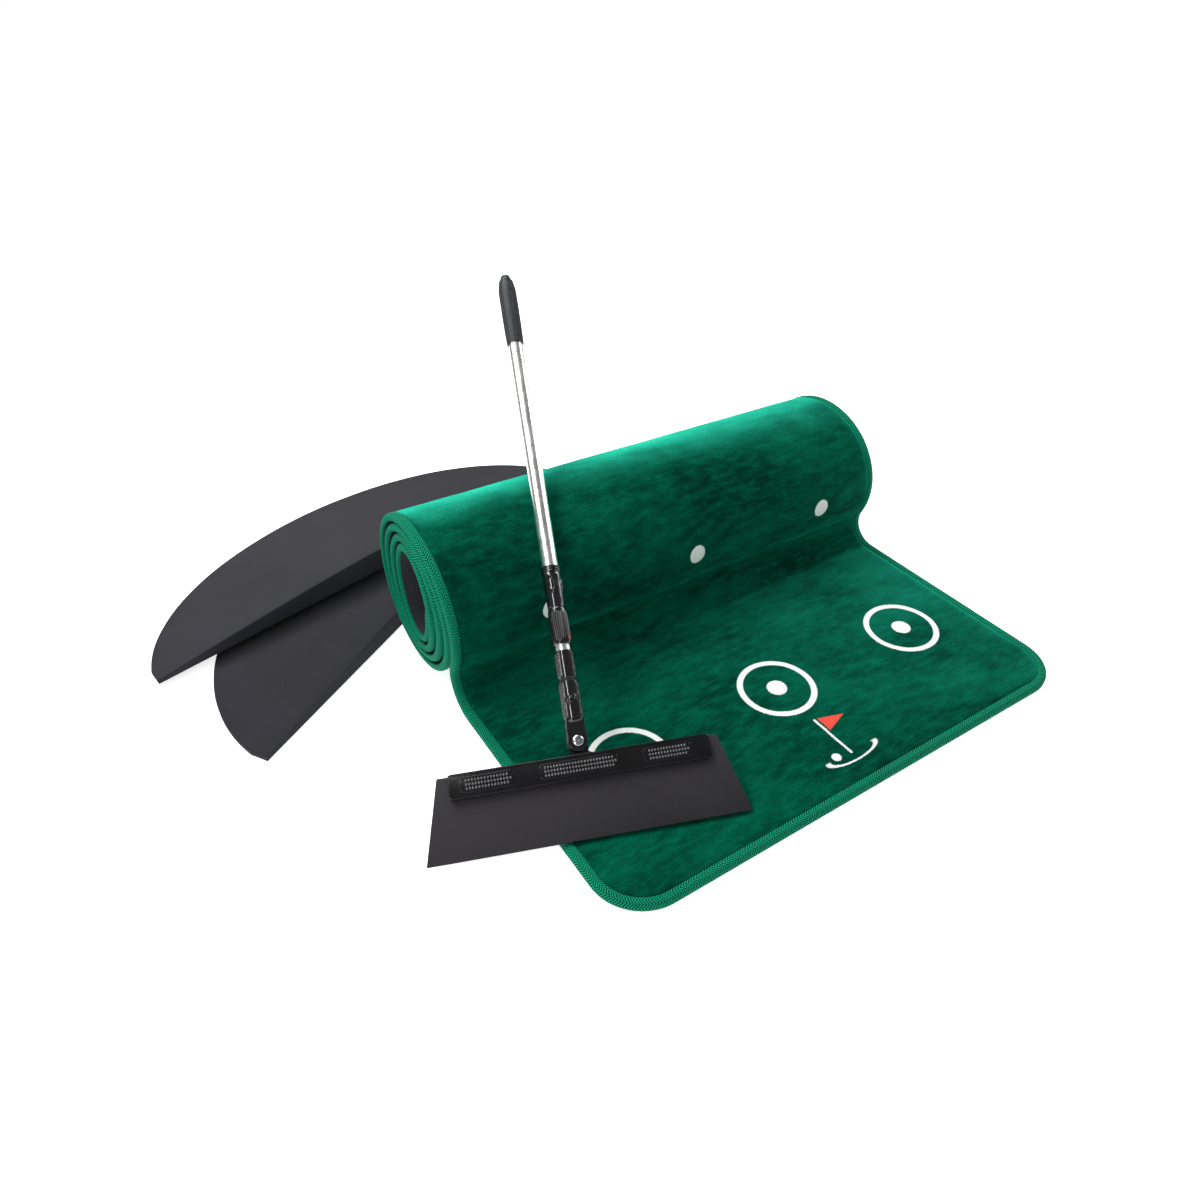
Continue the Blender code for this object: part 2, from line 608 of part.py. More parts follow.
def build_lower_pole(parent, colors):
    bore = BORE_RADIUS
    spigot = bore - GAP
    spigot_bore = spigot - SLEEVE_WALL
    seat = BARREL_START + 0.004
    profile = [(0, BARREL_START), (BARREL_RADIUS, BARREL_START), (BARREL_RADIUS, BARREL_END),
               (bore, BARREL_END), (bore, seat), (0, seat)]
    clevis = add_object("head_clevis", turned(profile), colors["plastic"], parent)
    inner, outer = ear_places()
    outline = [(EAR_RADIUS, 0), (BARREL_RADIUS * 0.94, BARREL_START + 0.002)]
    outline += [(-BARREL_RADIUS * 0.94, BARREL_START + 0.002)]
    outline += arc(0, 0, EAR_RADIUS, 180, 345, 15)
    for name, low, high in (("ear_front", inner, outer), ("ear_back", -outer, -inner)):
        combine(clevis, add_tool(name, plate(outline, low, high), parent), "UNION")
    combine(clevis, add_tool("ear_hole", rod(PIVOT_SHANK + GAP, -0.02, 0.02, 24, "Z"), parent))
    port = moved(rod(BUTTON_RADIUS + GAP, 0.003, 0.02, 24, "Z"), (0, BUTTON_PLACE, 0))
    port = add_tool("button_hole", port, parent)
    combine(clevis, port)

    socket = LOWER_SOCKET
    profile = [(spigot_bore, seat + GAP), (spigot, seat + GAP), (spigot, RING_END + GAP),
               (FERRULE_RADIUS, RING_END + GAP), (FERRULE_RADIUS, FERRULE_END),
               (bore, FERRULE_END), (bore, socket), (spigot_bore, socket)]
    ferrule = add_object("tube_ferrule", turned(profile), colors["plastic"], parent)
    combine(ferrule, port)
    add_object("groove_ring", pipe(FERRULE_RADIUS - 0.0008, spigot + GAP, BARREL_END + GAP, RING_END),
               colors["rubber"], parent)

    reach = UPPER_SOCKET + TELESCOPE_TRAVEL + TELESCOPE_HOLD
    tube_bore = INNER_TUBE_RADIUS - TUBE_WALL
    shape = pipe(INNER_TUBE_RADIUS, tube_bore, socket + GAP, reach)
    add_object("inner_tube", shape, colors["chrome"], parent)
    profile = [(0, reach - 0.015), (tube_bore - GAP, reach - 0.015), (tube_bore - GAP, reach + GAP),
               (INNER_TUBE_RADIUS, reach + GAP), (INNER_TUBE_RADIUS, reach + 0.004), (0, reach + 0.004)]
    add_object("tube_plug", turned(profile), colors["plastic"], parent)

    flange = spigot_bore * 0.70
    base = flange - 0.0026
    profile = [(0, base), (BUTTON_RADIUS + 0.0009, base), (BUTTON_RADIUS + 0.0009, base + 0.0012),
               (BUTTON_RADIUS, base + 0.0012), (BUTTON_RADIUS, BARREL_RADIUS + BUTTON_PROUD - 0.001),
               (BUTTON_RADIUS * 0.75, BARREL_RADIUS + BUTTON_PROUD - 0.0003),
               (0, BARREL_RADIUS + BUTTON_PROUD)]
    button = add_object("snap_button", turned(profile, 24, "Z"), colors["plastic"], parent)
    button.location = (0, BUTTON_PLACE, 0)

    leaf, strip = 0.0005, 0.0040
    top = base - BUTTON_TRAVEL - GAP
    bottom = -math.sqrt(spigot_bore ** 2 - (strip / 2) ** 2) + GAP
    spring_arm(BUTTON_PLACE, top, bottom, leaf, strip, parent, colors)


def spring_arm(place, top, bottom, leaf, strip, parent, colors):
    """Leaf spring folded like a hairpin, drawn pressed flat under the button."""
    bend = (top - bottom) / 2
    centre = (top + bottom) / 2
    fold = place + 0.012
    outline = [(place - 0.004, top)] + arc(fold, centre, bend, 90, -90, 10)
    outline += [(place - 0.004, bottom), (place - 0.004, bottom + leaf)]
    outline += arc(fold, centre, bend - leaf, -90, 90, 10) + [(place - 0.004, top - leaf)]
    bm = plate(outline, -strip / 2, strip / 2)
    turn = Matrix(((0, 0, 1), (1, 0, 0), (0, 1, 0))).to_4x4()
    bmesh.ops.transform(bm, matrix=turn, verts=bm.verts)
    add_object("button_spring", bm, colors["steel"], parent)


def build_lock(parent, colors):
    """Twist lock: the knurled knob squeezes a collet on the inner tube."""
    bore = BORE_RADIUS
    chamber = KNOB_RADIUS - 0.0012
    collet_end = KNOB_START + COLLET_END
    floor = KNOB_START + KNOB_FLOOR
    profile = [(bore, KNOB_START), (KNOB_RADIUS - 0.001, KNOB_START), (KNOB_RADIUS, KNOB_START + 0.001),
               (KNOB_RADIUS, KNOB_END - 0.001), (KNOB_RADIUS - 0.0006, KNOB_END), (chamber, KNOB_END),
               (chamber, floor), (bore, floor)]
    add_object("lock_knob", turned(profile), colors["plastic"], parent)
    add_object("lock_collet", pipe(chamber - GAP, bore, floor + GAP, collet_end), colors["nylon"], parent)
    mark = moved(rod(0.0020, KNOB_RADIUS + GAP, KNOB_RADIUS + 0.0009, 20, "Z"), (0, KNOB_START + 0.008, 0))
    bmesh.ops.rotate(mark, verts=mark.verts, cent=(0, 0, 0), matrix=Matrix.Rotation(math.radians(48), 3, "Y"))
    add_object("lock_mark", mark, colors["red"], parent)
    return chamber, collet_end


def build_upper_pole(parent, colors, chamber, collet_end):
    bore = BORE_RADIUS
    socket = UPPER_SOCKET
    tube = OUTER_TUBE_RADIUS
    stub = chamber - GAP
    profile = [(bore, collet_end + GAP), (stub, collet_end + GAP), (stub, NOZZLE_START),
               (NOZZLE_RADIUS, NOZZLE_START), (NOZZLE_RADIUS + 0.0004, NOZZLE_START + 0.010),
               (NOZZLE_TOP_RADIUS, NOZZLE_END), (tube + GAP, NOZZLE_END), (tube + GAP, socket),
               (bore, socket)]
    add_object("taper_nozzle", turned(profile), colors["plastic"], parent)

    rings = 3
    pitch = COLLAR_LENGTH / rings
    profile = [(tube + GAP, COLLAR_START)]
    for i in range(rings):
        low = COLLAR_START + i * pitch
        profile += [(COLLAR_RADIUS - 0.0006, low), (COLLAR_RADIUS, low + 0.25 * pitch),
                    (COLLAR_RADIUS, low + 0.7 * pitch), (COLLAR_RADIUS - 0.0006, low + 0.9 * pitch)]
    profile += [(tube + GAP, low + 0.9 * pitch)]
    add_object("collar_ring", turned(profile), colors["plastic"], parent)

    tube_end = GRIP_END - GRIP_CAP_LENGTH - GAP
    add_object("outer_tube", pipe(tube, tube - TUBE_WALL, socket + GAP, tube_end), colors["chrome"], parent)
    grip = GRIP_RADIUS
    profile = [(tube + GAP, GRIP_START), (grip - 0.0012, GRIP_START), (grip - 0.0004, GRIP_START + 0.002),
               (grip - 0.0008, GRIP_START + 0.35 * GRIP_LENGTH), (grip, GRIP_START + 0.75 * GRIP_LENGTH),
               (grip - 0.0004, tube_end), (tube + GAP, tube_end)]
    add_object("grip_sleeve", turned(profile), colors["rubber"], parent)
    low = tube_end + GAP
    radius = grip - 0.0006
    profile = [(0, low), (radius, low)]
    profile += [(radius * math.cos(a), low + 0.003 + (GRIP_CAP_LENGTH - 0.003) * math.sin(a))
                for a in np.linspace(0, math.pi / 2, 7)[:-1]]
    profile += [(0, low + GRIP_CAP_LENGTH)]
    add_object("grip_cap", turned(profile), colors["rubber"], parent)


def build_rake(colors):
    lean = rake_lean()
    edge, up, out = rake_axes(lean)
    head = add_empty("head_frame", frame_matrix(rake_pivot(lean), edge, up, out))
    swing = Matrix.Rotation(-POLE_SWING, 4, "Z")
    pole = add_empty("pole_frame", head.matrix_world @ swing)
    build_head(head, colors)
    build_lower_pole(pole, colors)
    chamber, collet_end = build_lock(pole, colors)
    build_upper_pole(pole, colors, chamber, collet_end)


def main():
    for obj in list(bpy.data.objects):
        bpy.data.objects.remove(obj)
    colors = {
        "pile": material("green_pile", (0.004, 0.13, 0.065), 0.9),
        "binding": material("green_tape", (0.01, 0.24, 0.10), 0.85),
        "backing": material("grey_backing", (0.045, 0.045, 0.05), 0.9),
        "foam": material("charcoal_foam", (0.028, 0.028, 0.034), 0.95),
        "blade": material("black_rubber_blade", (0.035, 0.032, 0.036), 0.65),
        "plastic": material("black_plastic", (0.012, 0.012, 0.014), 0.35),
        "rubber": material("black_rubber", (0.014, 0.014, 0.016), 0.7),
        "nylon": material("natural_nylon", (0.6, 0.6, 0.56), 0.5),
        "steel": material("zinc_steel", (0.55, 0.55, 0.57), 0.35, 1.0),
        "chrome": material("chrome_tube", (0.78, 0.78, 0.80), 0.12, 1.0),
        "red": material("red_mark", (0.6, 0.02, 0.02), 0.4),
    }
    build_mat(colors)
    build_wedges(colors)
    build_rake(colors)


main()
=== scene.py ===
"""Looks of the practice putting mat: rolled velvet mat, foam wedges and smoothing rake."""

import json
import math

import bmesh
import bpy
import numpy as np
from bpy.props import FloatProperty, FloatVectorProperty, PointerProperty
from mathutils import Matrix, Vector, noise


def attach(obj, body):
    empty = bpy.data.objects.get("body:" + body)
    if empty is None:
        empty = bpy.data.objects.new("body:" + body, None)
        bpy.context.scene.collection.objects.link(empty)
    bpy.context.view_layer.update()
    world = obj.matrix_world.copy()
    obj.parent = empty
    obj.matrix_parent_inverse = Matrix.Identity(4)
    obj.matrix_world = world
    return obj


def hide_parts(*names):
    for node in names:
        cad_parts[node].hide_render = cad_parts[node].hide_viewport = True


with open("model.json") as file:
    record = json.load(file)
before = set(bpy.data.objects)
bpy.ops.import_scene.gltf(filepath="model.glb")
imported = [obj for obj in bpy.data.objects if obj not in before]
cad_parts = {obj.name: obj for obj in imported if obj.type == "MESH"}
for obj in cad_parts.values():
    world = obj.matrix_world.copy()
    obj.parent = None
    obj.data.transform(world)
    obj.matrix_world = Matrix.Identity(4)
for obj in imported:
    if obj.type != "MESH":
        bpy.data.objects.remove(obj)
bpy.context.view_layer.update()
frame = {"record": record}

bl_info = {
    "name": "Practice Putting Mat",
    "version": (1, 0, 0),
    "blender": (4, 5, 0),
    "location": "3D View > Sidebar > Putting Mat",
    "description": "Builds the looks of a rolled putting mat with its rake and foam wedges",
    "category": "Object",
}

GAP = 0.0003

# Mat, in flat coordinates: x across, s along from the front edge, t up from the underside
MAT_WIDTH = 0.744
MAT_LENGTH = 2.500
TONGUE_LENGTH = 0.368
CORNER_RADIUS = 0.067
BACKING_THICKNESS = 0.0027
PILE_THICKNESS = 0.0068
BINDING_THICKNESS = 0.0105
BINDING_WIDTH = 0.0130
BINDING_WALL = 0.0040
BEND_RADIUS = 0.035
CORE_HALF_WIDTH = 0.030
CORE_HALF_HEIGHT = 0.057
TURN_SLACK_SIDE = 0.0092
TURN_SLACK_TOP = 0.0006
ROLL_TAPER = 0.085
MAT_THICKNESS = BACKING_THICKNESS + GAP + PILE_THICKNESS
Y_FRONT = -TONGUE_LENGTH / 2
OUTER_TURN_END = 1.05          # how far along the mat its visible outer turn reaches
CORNER_STEPS = 16
LAYER_ROWS = (0.0052, 0.0100)  # row spacing, outer turn and within the roll
TAPE_ROWS = (0.0055, 0.0085)
EDGE_COLUMNS = (0.0, 0.0016, 0.0048)
PILE_RIM = 0.005
PILE_SOFTENING = 0.0011

# Prints on the mat, in the same coordinates
PRINT_SOFT = 0.0007
LANE_CENTRE = 0.006
TARGET_ROW = 0.190
DOT_CENTRE = 0.0155
DOT_ROW = 0.503
DOT_ROW_SPACING = 0.313
DOTS_FROM = 0.3466
LANE_DOT_SHARE = 0.96
FLAG_FOOT = 0.050
STICK_HALF = 0.034
PENNANT_START = 0.0045
PENNANT_LENGTH = 0.036
PENNANT_HALF = 0.0125
PENNANT_RISE = 0.0555

# Foam wedges
WEDGE_LENGTH = 0.694
WEDGE_DEPTH = 0.259
WEDGE_HEIGHT = 0.031
WEDGE_RIM = 0.006
WEDGE_TIP = 0.026
WEDGE_SHARE = 0.20
WEDGE_FULLNESS = 1.35
LOWER_WEDGE_PLACE = (-0.322631, 0.442833, 0.0)
UPPER_WEDGE_PLACE = (-0.354, 0.505468, 0.043673)
LOWER_WEDGE_TURN, UPPER_WEDGE_TURN = 33.2, 8.1
UPPER_WEDGE_LEAN = (2.41, -2.40)

# Rake head, from the pivot
BLADE_WIDTH = 0.377
BLADE_TOP_WIDTH = 0.3335
BLADE_HEIGHT = 0.0952
BLADE_THICKNESS = 0.0040
CARRIER_LENGTH = 0.310
CARRIER_HEIGHT = 0.0290
CARRIER_FRONT = 0.0060
CARRIER_LIP = 0.0013
PAD_HEIGHT = 0.0180
PAD_RAISE = 0.0008
PAD_LENGTHS = (0.064, 0.094, 0.060)
PAD_PLACES = (-0.111, -0.004, 0.102)
TONGUE_FOOT = 0.040
TONGUE_DEPTH = 0.0210
PIVOT_RISE = 0.0157
EAR_RADIUS = 0.0122
EAR_THICKNESS = 0.0040
WASHER_THICKNESS = 0.0012
EAR_INNER = BLADE_THICKNESS / 2 + GAP + WASHER_THICKNESS + GAP
CARRIER_MIDDLE = -PIVOT_RISE - CARRIER_HEIGHT / 2
RIDGE_PITCH = 0.0036
PIVOT_SHANK = 0.0027
PIVOT_HEAD = 0.0066

# Pole, from the pivot along its length
TUBE_RADIUS = 0.0105
TUBE_WALL = 0.0010
INNER_RADIUS = TUBE_RADIUS - TUBE_WALL - GAP
BORE = INNER_RADIUS + GAP
BARREL_RADIUS = BORE + 0.0024
FERRULE_RADIUS = BORE + 0.0017
KNOB_RADIUS = BORE + 0.0022
NOZZLE_RADIUS = BORE + 0.0015
NOZZLE_TOP_RADIUS = TUBE_RADIUS + 0.0015
COLLAR_RADIUS = TUBE_RADIUS + 0.0021
GRIP_RADIUS = TUBE_RADIUS + 0.0019
BARREL_START, BARREL_END = 0.0200, 0.0734
RING_END = BARREL_END + 0.0037
FERRULE_END = RING_END + 0.0357
KNOB_START = FERRULE_END + 0.0085
KNOB_END = KNOB_START + 0.0480
NOZZLE_START = KNOB_END + 4 * GAP
NOZZLE_END = NOZZLE_START + 0.0463
COLLAR_START = NOZZLE_END + GAP
COLLAR_END = COLLAR_START + 0.0096
COLLAR_RIB = ((0.0011, 0), (0.0003, 0.12), (0, 0.30), (0, 0.60), (0.0003, 0.80), (0.0011, 0.92))
GRIP_START = 0.5730
GRIP_END = GRIP_START + 0.1255
CAP_LENGTH = 0.0130
SOCKET_DEPTH = 0.024
TRAVEL, HOLD = 0.300, 0.052
BUTTON_PLACE, BUTTON_RADIUS, BUTTON_PROUD = 0.0495, 0.0044, 0.0014
BARREL_SEAT = BARREL_START + 0.004
UPPER_SOCKET = NOZZLE_END - SOCKET_DEPTH
GRIP_INNER_END = GRIP_END - CAP_LENGTH - GAP
STUD_PITCH = 0.0024
STUD_SIDES = (0.62, 2.6)       # angles from the front between which the studs stand

# Studio: lights as name, place, aim and size, the camera's yaw, pitch and roll in degrees
LIGHTS = (("top_light", (-0.4, 1.7, 2.1), (0.0, 0.2, 0.0), (2.6, 1.2)),
          ("side_light", (2.1, 0.2, 1.3), (0.0, 0.1, 0.1), (0.8, 1.6)),
          ("fill_light", (-1.9, -0.75, 1.0), (0.0, 0.1, 0.1), (0.26, 1.4)),
          ("strip_light", (-1.0, 0.42, 1.60), (-0.25, 0.20, 0.15), (1.1, 0.13)))
FLOOR_GLOW = 0.75
AIR_TONE, MIRRORED_LOSS = 0.32, 0.14
CAMERA_PLACE = (-0.6861, -0.6173, 0.8520)
CAMERA_ANGLES = (-33.03, 37.66, 0.42)
CAMERA_LENS = 27.168


# ---------------------------------------------------------------- settings

def color_setting(name, description, default):
    return FloatVectorProperty(name=name, description=description, subtype="COLOR", size=3,
                               min=0.0, max=1.0, default=default)


def length_setting(name, description, default):
    return FloatProperty(name=name, description=description, unit="LENGTH", min=0.0, default=default)


class MatLooks(bpy.types.PropertyGroup):
    """Sizes and colours of the mat."""
    pile_color: color_setting("Pile", "Velvet lying away from the light", (0.0004, 0.088, 0.047))
    pile_shade: color_setting("Pile shade", "Velvet standing up", (0.0001, 0.021, 0.011))
    pile_light: color_setting("Pile light", "Velvet lying towards the light", (0.003, 0.280, 0.160))
    # Painted sheen: the bright green painted onto upward-facing pile where it is seen at a grazing angle.
    pile_painted_sheen: color_setting("Pile sheen", "Velvet seen along its surface", (0.030, 0.720, 0.470))
    tape_color: color_setting("Tape", "Woven edge tape", (0.003, 0.340, 0.180))
    backing_color: color_setting("Backing", "Underside of the mat", (0.030, 0.031, 0.035))
    print_color: color_setting("Print", "Printed circles and dots", (0.86, 0.88, 0.86))
    pennant_color: color_setting("Pennant", "Pennant of the printed flagstick", (0.80, 0.085, 0.055))
    ring_size: length_setting("Ring", "Outside diameter of a target circle", 0.108)
    ring_band: length_setting("Ring band", "Width of the circle's line", 0.0082)
    dot_size: length_setting("Dot", "Diameter of the dot in a circle", 0.0275)
    lane_spacing: length_setting("Lanes", "Distance between the three lanes", 0.241)
    dot_spacing: length_setting("Dot rows", "Distance between dots across the roll", 0.243)
    edge_wave: length_setting("Edge wave", "How far the turns' edges wander sideways", 0.0022)
    nap_swell: length_setting("Nap swell", "Unevenness of the pile's surface", 0.0005)


class WedgeLooks(bpy.types.PropertyGroup):
    """Finish of the foam wedges."""
    foam_color: color_setting("Foam", "Closed-cell foam", (0.021, 0.021, 0.027))
    edge_round: length_setting("Edge", "Rounding of the cut edges", 0.0020)


class RakeLooks(bpy.types.PropertyGroup):
    """Finish of the rake."""
    plastic_color: color_setting("Plastic", "Gloss black moulded plastic", (0.0045, 0.0045, 0.0055))
    blade_color: color_setting("Blade", "Flexible blade", (0.024, 0.022, 0.025))
    grip_color: color_setting("Grip", "Rubber grip", (0.012, 0.015, 0.019))
    metal_color: color_setting("Metal", "Polished tube", (0.93, 0.92, 0.90))
    knurl_depth: length_setting("Knurl", "Height of the moulded grip pattern", 0.00055)


class StudioLooks(bpy.types.PropertyGroup):
    """Floor and light."""
    floor_color: color_setting("Floor", "Pale floor", (0.90, 0.90, 0.90))
    key_power: FloatProperty(name="Top light", description="Power of the soft light overhead",
                             unit="POWER", min=0.0, default=70.0)
    side_power: FloatProperty(name="Side light", description="Power of the soft light at the right",
                              unit="POWER", min=0.0, default=22.0)
    fill_power: FloatProperty(name="Fill light", description="Power of the soft light in front",
                              unit="POWER", min=0.0, default=11.0)
    strip_power: FloatProperty(name="Strip light", description="Power of the narrow light over the pole",
                               unit="POWER", min=0.0, default=9.0)


# ---------------------------------------------------------------- node helpers

def feed(tree, socket, value):
    """Link another node's output to a socket, or set a plain value on it."""
    if isinstance(value, bpy.types.NodeSocket):
        tree.links.new(value, socket)
    else:
        socket.default_value = value


def add_node(tree, kind, inputs=None, **settings):
    made = tree.nodes.new("ShaderNode" + kind)
    for key, value in settings.items():
        setattr(made, key, value)
    for key, value in (inputs or {}).items():
        feed(tree, made.inputs[key], value)
    return made


def calc(tree, operation, *values):
    return add_node(tree, "Math", dict(enumerate(values)), operation=operation).outputs[0]


def times(tree, one, other):
    return calc(tree, "MULTIPLY", one, other)


def plus(tree, one, other):
    return calc(tree, "ADD", one, other)


def minus(tree, one, other):
    return calc(tree, "SUBTRACT", one, other)


def most(tree, one, other):
    return calc(tree, "MAXIMUM", one, other)


def blend_color(tree, share, low, high):
    made = add_node(tree, "Mix", {0: share}, data_type="RGBA")
    for socket, value in ((made.inputs[6], low), (made.inputs[7], high)):
        is_node = isinstance(value, bpy.types.NodeSocket)
        feed(tree, socket, value if is_node else (*value, 1.0))
    return made.outputs[2]


def smooth_step(tree, value, low, high):
    made = add_node(tree, "MapRange", {0: value, 1: low, 2: high, 3: 0.0, 4: 1.0},
                    interpolation_type="SMOOTHSTEP")
    return made.outputs[0]


def stretched(tree, vector, scale, rotation=(0, 0, 0)):
    return add_node(tree, "Mapping", {"Vector": vector, "Scale": scale, "Rotation": rotation}).outputs[0]


def cloud(tree, vector, scale, detail=3.0, roughness=0.5):
    made = add_node(tree, "TexNoise", {"Vector": vector, "Scale": scale, "Detail": detail,
                                       "Roughness": roughness})
    return made.outputs[0]


def new_group(name, inputs, outputs):
    group = bpy.data.node_groups.new(name, "ShaderNodeTree")
    for label, kind, default in inputs:
        socket = group.interface.new_socket(label, in_out="INPUT", socket_type="NodeSocket" + kind)
        if default is not None:
            socket.default_value = default
    for label, kind in outputs:
        group.interface.new_socket(label, in_out="OUTPUT", socket_type="NodeSocket" + kind)
    return group, group.nodes.new("NodeGroupInput"), group.nodes.new("NodeGroupOutput")


def use_group(tree, group, inputs):
    return add_node(tree, "Group", inputs, node_tree=group)


def kept_group(name, build):
    return bpy.data.node_groups.get(name) or build(name)


def build_grain(name):
    """Fine grain over broad clouds, for moulded, cast and cut surfaces."""
    group, source, sink = new_group(name, [("Vector", "Vector", None), ("Grain Scale", "Float", 900.0),
                                           ("Cloud Scale", "Float", 14.0)],
                                    [("Grain", "Float"), ("Cloud", "Float"), ("Fleck", "Float")])
    vector = source.outputs["Vector"]
    grain = cloud(group, vector, source.outputs["Grain Scale"], 2.0, 0.6)
    broad = cloud(group, vector, source.outputs["Cloud Scale"], 4.0, 0.55)
    cells = add_node(group, "TexVoronoi", {"Vector": vector, "Scale": source.outputs["Grain Scale"]})
    fleck = smooth_step(group, cells.outputs["Distance"], 0.42, 0.12)
    group.links.new(smooth_step(group, grain, 0.3, 0.7), sink.inputs["Grain"])
    group.links.new(smooth_step(group, broad, 0.3, 0.7), sink.inputs["Cloud"])
    group.links.new(fleck, sink.inputs["Fleck"])
    return group


def build_nap(name):
    """How velvet lies: broad brushed patches, streaks across the mat and single tufts."""
    group, source, sink = new_group(name, [("Vector", "Vector", None)],
                                    [("Patch", "Float"), ("Streak", "Float"), ("Tuft", "Float")])
    vector = source.outputs["Vector"]
    bent = add_node(group, "VectorMath", {0: vector, 1: (0.31, 0.17, 0.0)}, operation="ADD").outputs[0]
    patch = cloud(group, stretched(group, vector, (1.0, 1.9, 1.0), (0, 0, 0.10)), 5.0, 6.0, 0.60)
    streak = cloud(group, stretched(group, bent, (1.0, 2.6, 1.0), (0, 0, -0.06)), 34.0, 6.0, 0.70)
    tuft = cloud(group, stretched(group, vector, (1.0, 1.4, 1.0)), 430.0, 3.0, 0.65)
    group.links.new(smooth_step(group, patch, 0.32, 0.68), sink.inputs["Patch"])
    group.links.new(smooth_step(group, streak, 0.36, 0.72), sink.inputs["Streak"])
    group.links.new(smooth_step(group, tuft, 0.25, 0.75), sink.inputs["Tuft"])
    return group


def disc(tree, across, along, size, soft):
    """Mask of a round mark about the origin of two distances."""
    far = calc(tree, "SQRT", plus(tree, times(tree, across, across), times(tree, along, along)))
    return smooth_step(tree, far, size / 2 + soft, size / 2 - soft), far


def build_marks(name):
    """Printed marks on the flat mat: target circles, lane dots and a plain flagstick sign."""
    looks = bpy.context.scene.putting_mat
    group, source, sink = new_group(name, [("Vector", "Vector", None), ("Spread", "Float", 0.0)],
                                    [("White", "Float"), ("Pennant", "Float")])
    parts = add_node(group, "SeparateXYZ", {0: source.outputs["Vector"]})
    spread = source.outputs["Spread"]
    x = plus(group, parts.outputs[0], spread)
    s = plus(group, parts.outputs[1], spread)
    half = looks.lane_spacing / 2
    across = minus(group, x, LANE_CENTRE)
    lane = calc(group, "WRAP", across, half, -half)
    soft = PRINT_SOFT
    target = minus(group, s, TARGET_ROW)
    dot, far = disc(group, lane, target, looks.dot_size, soft)
    outer_radius = looks.ring_size / 2
    outer = smooth_step(group, far, outer_radius + soft, outer_radius - soft)
    inner_radius = outer_radius - looks.ring_band
    inner = smooth_step(group, far, inner_radius - soft, inner_radius + soft)
    ring = times(group, outer, inner)
    half = DOT_ROW_SPACING / 2
    row = calc(group, "WRAP", minus(group, s, DOT_ROW), half, -half)
    half = looks.dot_spacing / 2
    lane = calc(group, "WRAP", minus(group, x, DOT_CENTRE), half, -half)
    further, _ = disc(group, lane, row, looks.dot_size * LANE_DOT_SHARE, soft)
    rolled = calc(group, "GREATER_THAN", s, DOTS_FROM)
    dots = times(group, further, rolled)
    white = most(group, most(group, ring, dot), dots)

    up = minus(group, s, FLAG_FOOT)
    thin = smooth_step(group, calc(group, "ABSOLUTE", across), 0.0022, 0.0012)
    tall = calc(group, "ABSOLUTE", minus(group, up, STICK_HALF))
    stick = times(group, thin, smooth_step(group, tall, STICK_HALF + 0.001, STICK_HALF))
    reach = calc(group, "DIVIDE", minus(group, across, PENNANT_START), PENNANT_LENGTH)
    slim = times(group, minus(group, 1.0, reach), PENNANT_HALF)
    tall = calc(group, "ABSOLUTE", minus(group, up, PENNANT_RISE))
    within = smooth_step(group, minus(group, tall, slim), 0.0006, -0.0006)
    pennant = times(group, within, smooth_step(group, reach, 0.0, 0.03))
    wide = times(group, across, 0.30)
    ground, far = disc(group, wide, up, 0.0260, 0.0005)
    hollow = smooth_step(group, far, 0.0102, 0.0112)
    front = smooth_step(group, up, 0.0035, 0.0005)
    ground = times(group, times(group, ground, hollow), front)
    aside = plus(group, across, 0.022)
    raised = minus(group, up, 0.0045)
    ball, _ = disc(group, aside, raised, 0.0125, 0.0006)
    sign = most(group, most(group, stick, ground), ball)
    group.links.new(most(group, white, sign), sink.inputs["White"])
    group.links.new(pennant, sink.inputs["Pennant"])
    return group


def build_twill(name):
    """Herringbone twill: slanting ribs that turn back at each stripe across the tape."""
    group, source, sink = new_group(name, [("Vector", "Vector", None), ("Rib Scale", "Float", 1750.0),
                                           ("Stripe Width", "Float", 0.0052)],
                                    [("Rib", "Float"), ("Height", "Float")])
    parts = add_node(group, "SeparateXYZ", {0: source.outputs["Vector"]})
    fold = calc(group, "PINGPONG", parts.outputs[1], source.outputs["Stripe Width"])
    slant = plus(group, parts.outputs[0], times(group, fold, 0.9))
    wave = calc(group, "SINE", times(group, slant, source.outputs["Rib Scale"]))
    rib = smooth_step(group, wave, -0.7, 0.8)
    crease = smooth_step(group, fold, 0.0, 0.0006)
    group.links.new(rib, sink.inputs["Rib"])
    group.links.new(times(group, rib, crease), sink.inputs["Height"])
    return group


# ---------------------------------------------------------------- materials

def new_material(name, **constants):
    made = bpy.data.materials.get(name)
    if made:
        return made, None, None
    made = bpy.data.materials.new(name)
    made.use_nodes = True
    tree = made.node_tree
    shader = tree.nodes["Principled BSDF"]
    for key, value in constants.items():
        shader.inputs[key.replace("_", " ")].default_value = value
    return made, tree, shader


def object_vector(tree):
    return add_node(tree, "TexCoord").outputs["Object"]


def flat_vector(tree, layer):
    return add_node(tree, "UVMap", uv_map=layer).outputs[0]


def use_grain(tree, vector, grain_scale, cloud_scale):
    return use_group(tree, kept_group("Fine Grain", build_grain),
                     {"Vector": vector, "Grain Scale": grain_scale, "Cloud Scale": cloud_scale})


def roughen(tree, shader, mask, low, high):
    rough = add_node(tree, "MapRange", {0: mask, 3: low, 4: high}).outputs[0]
    tree.links.new(rough, shader.inputs["Roughness"])


def raise_surface(tree, shader, height, distance, strength=1.0):
    bump = add_node(tree, "Bump", {"Height": height, "Distance": distance, "Strength": strength})
    tree.links.new(bump.outputs[0], shader.inputs["Normal"])


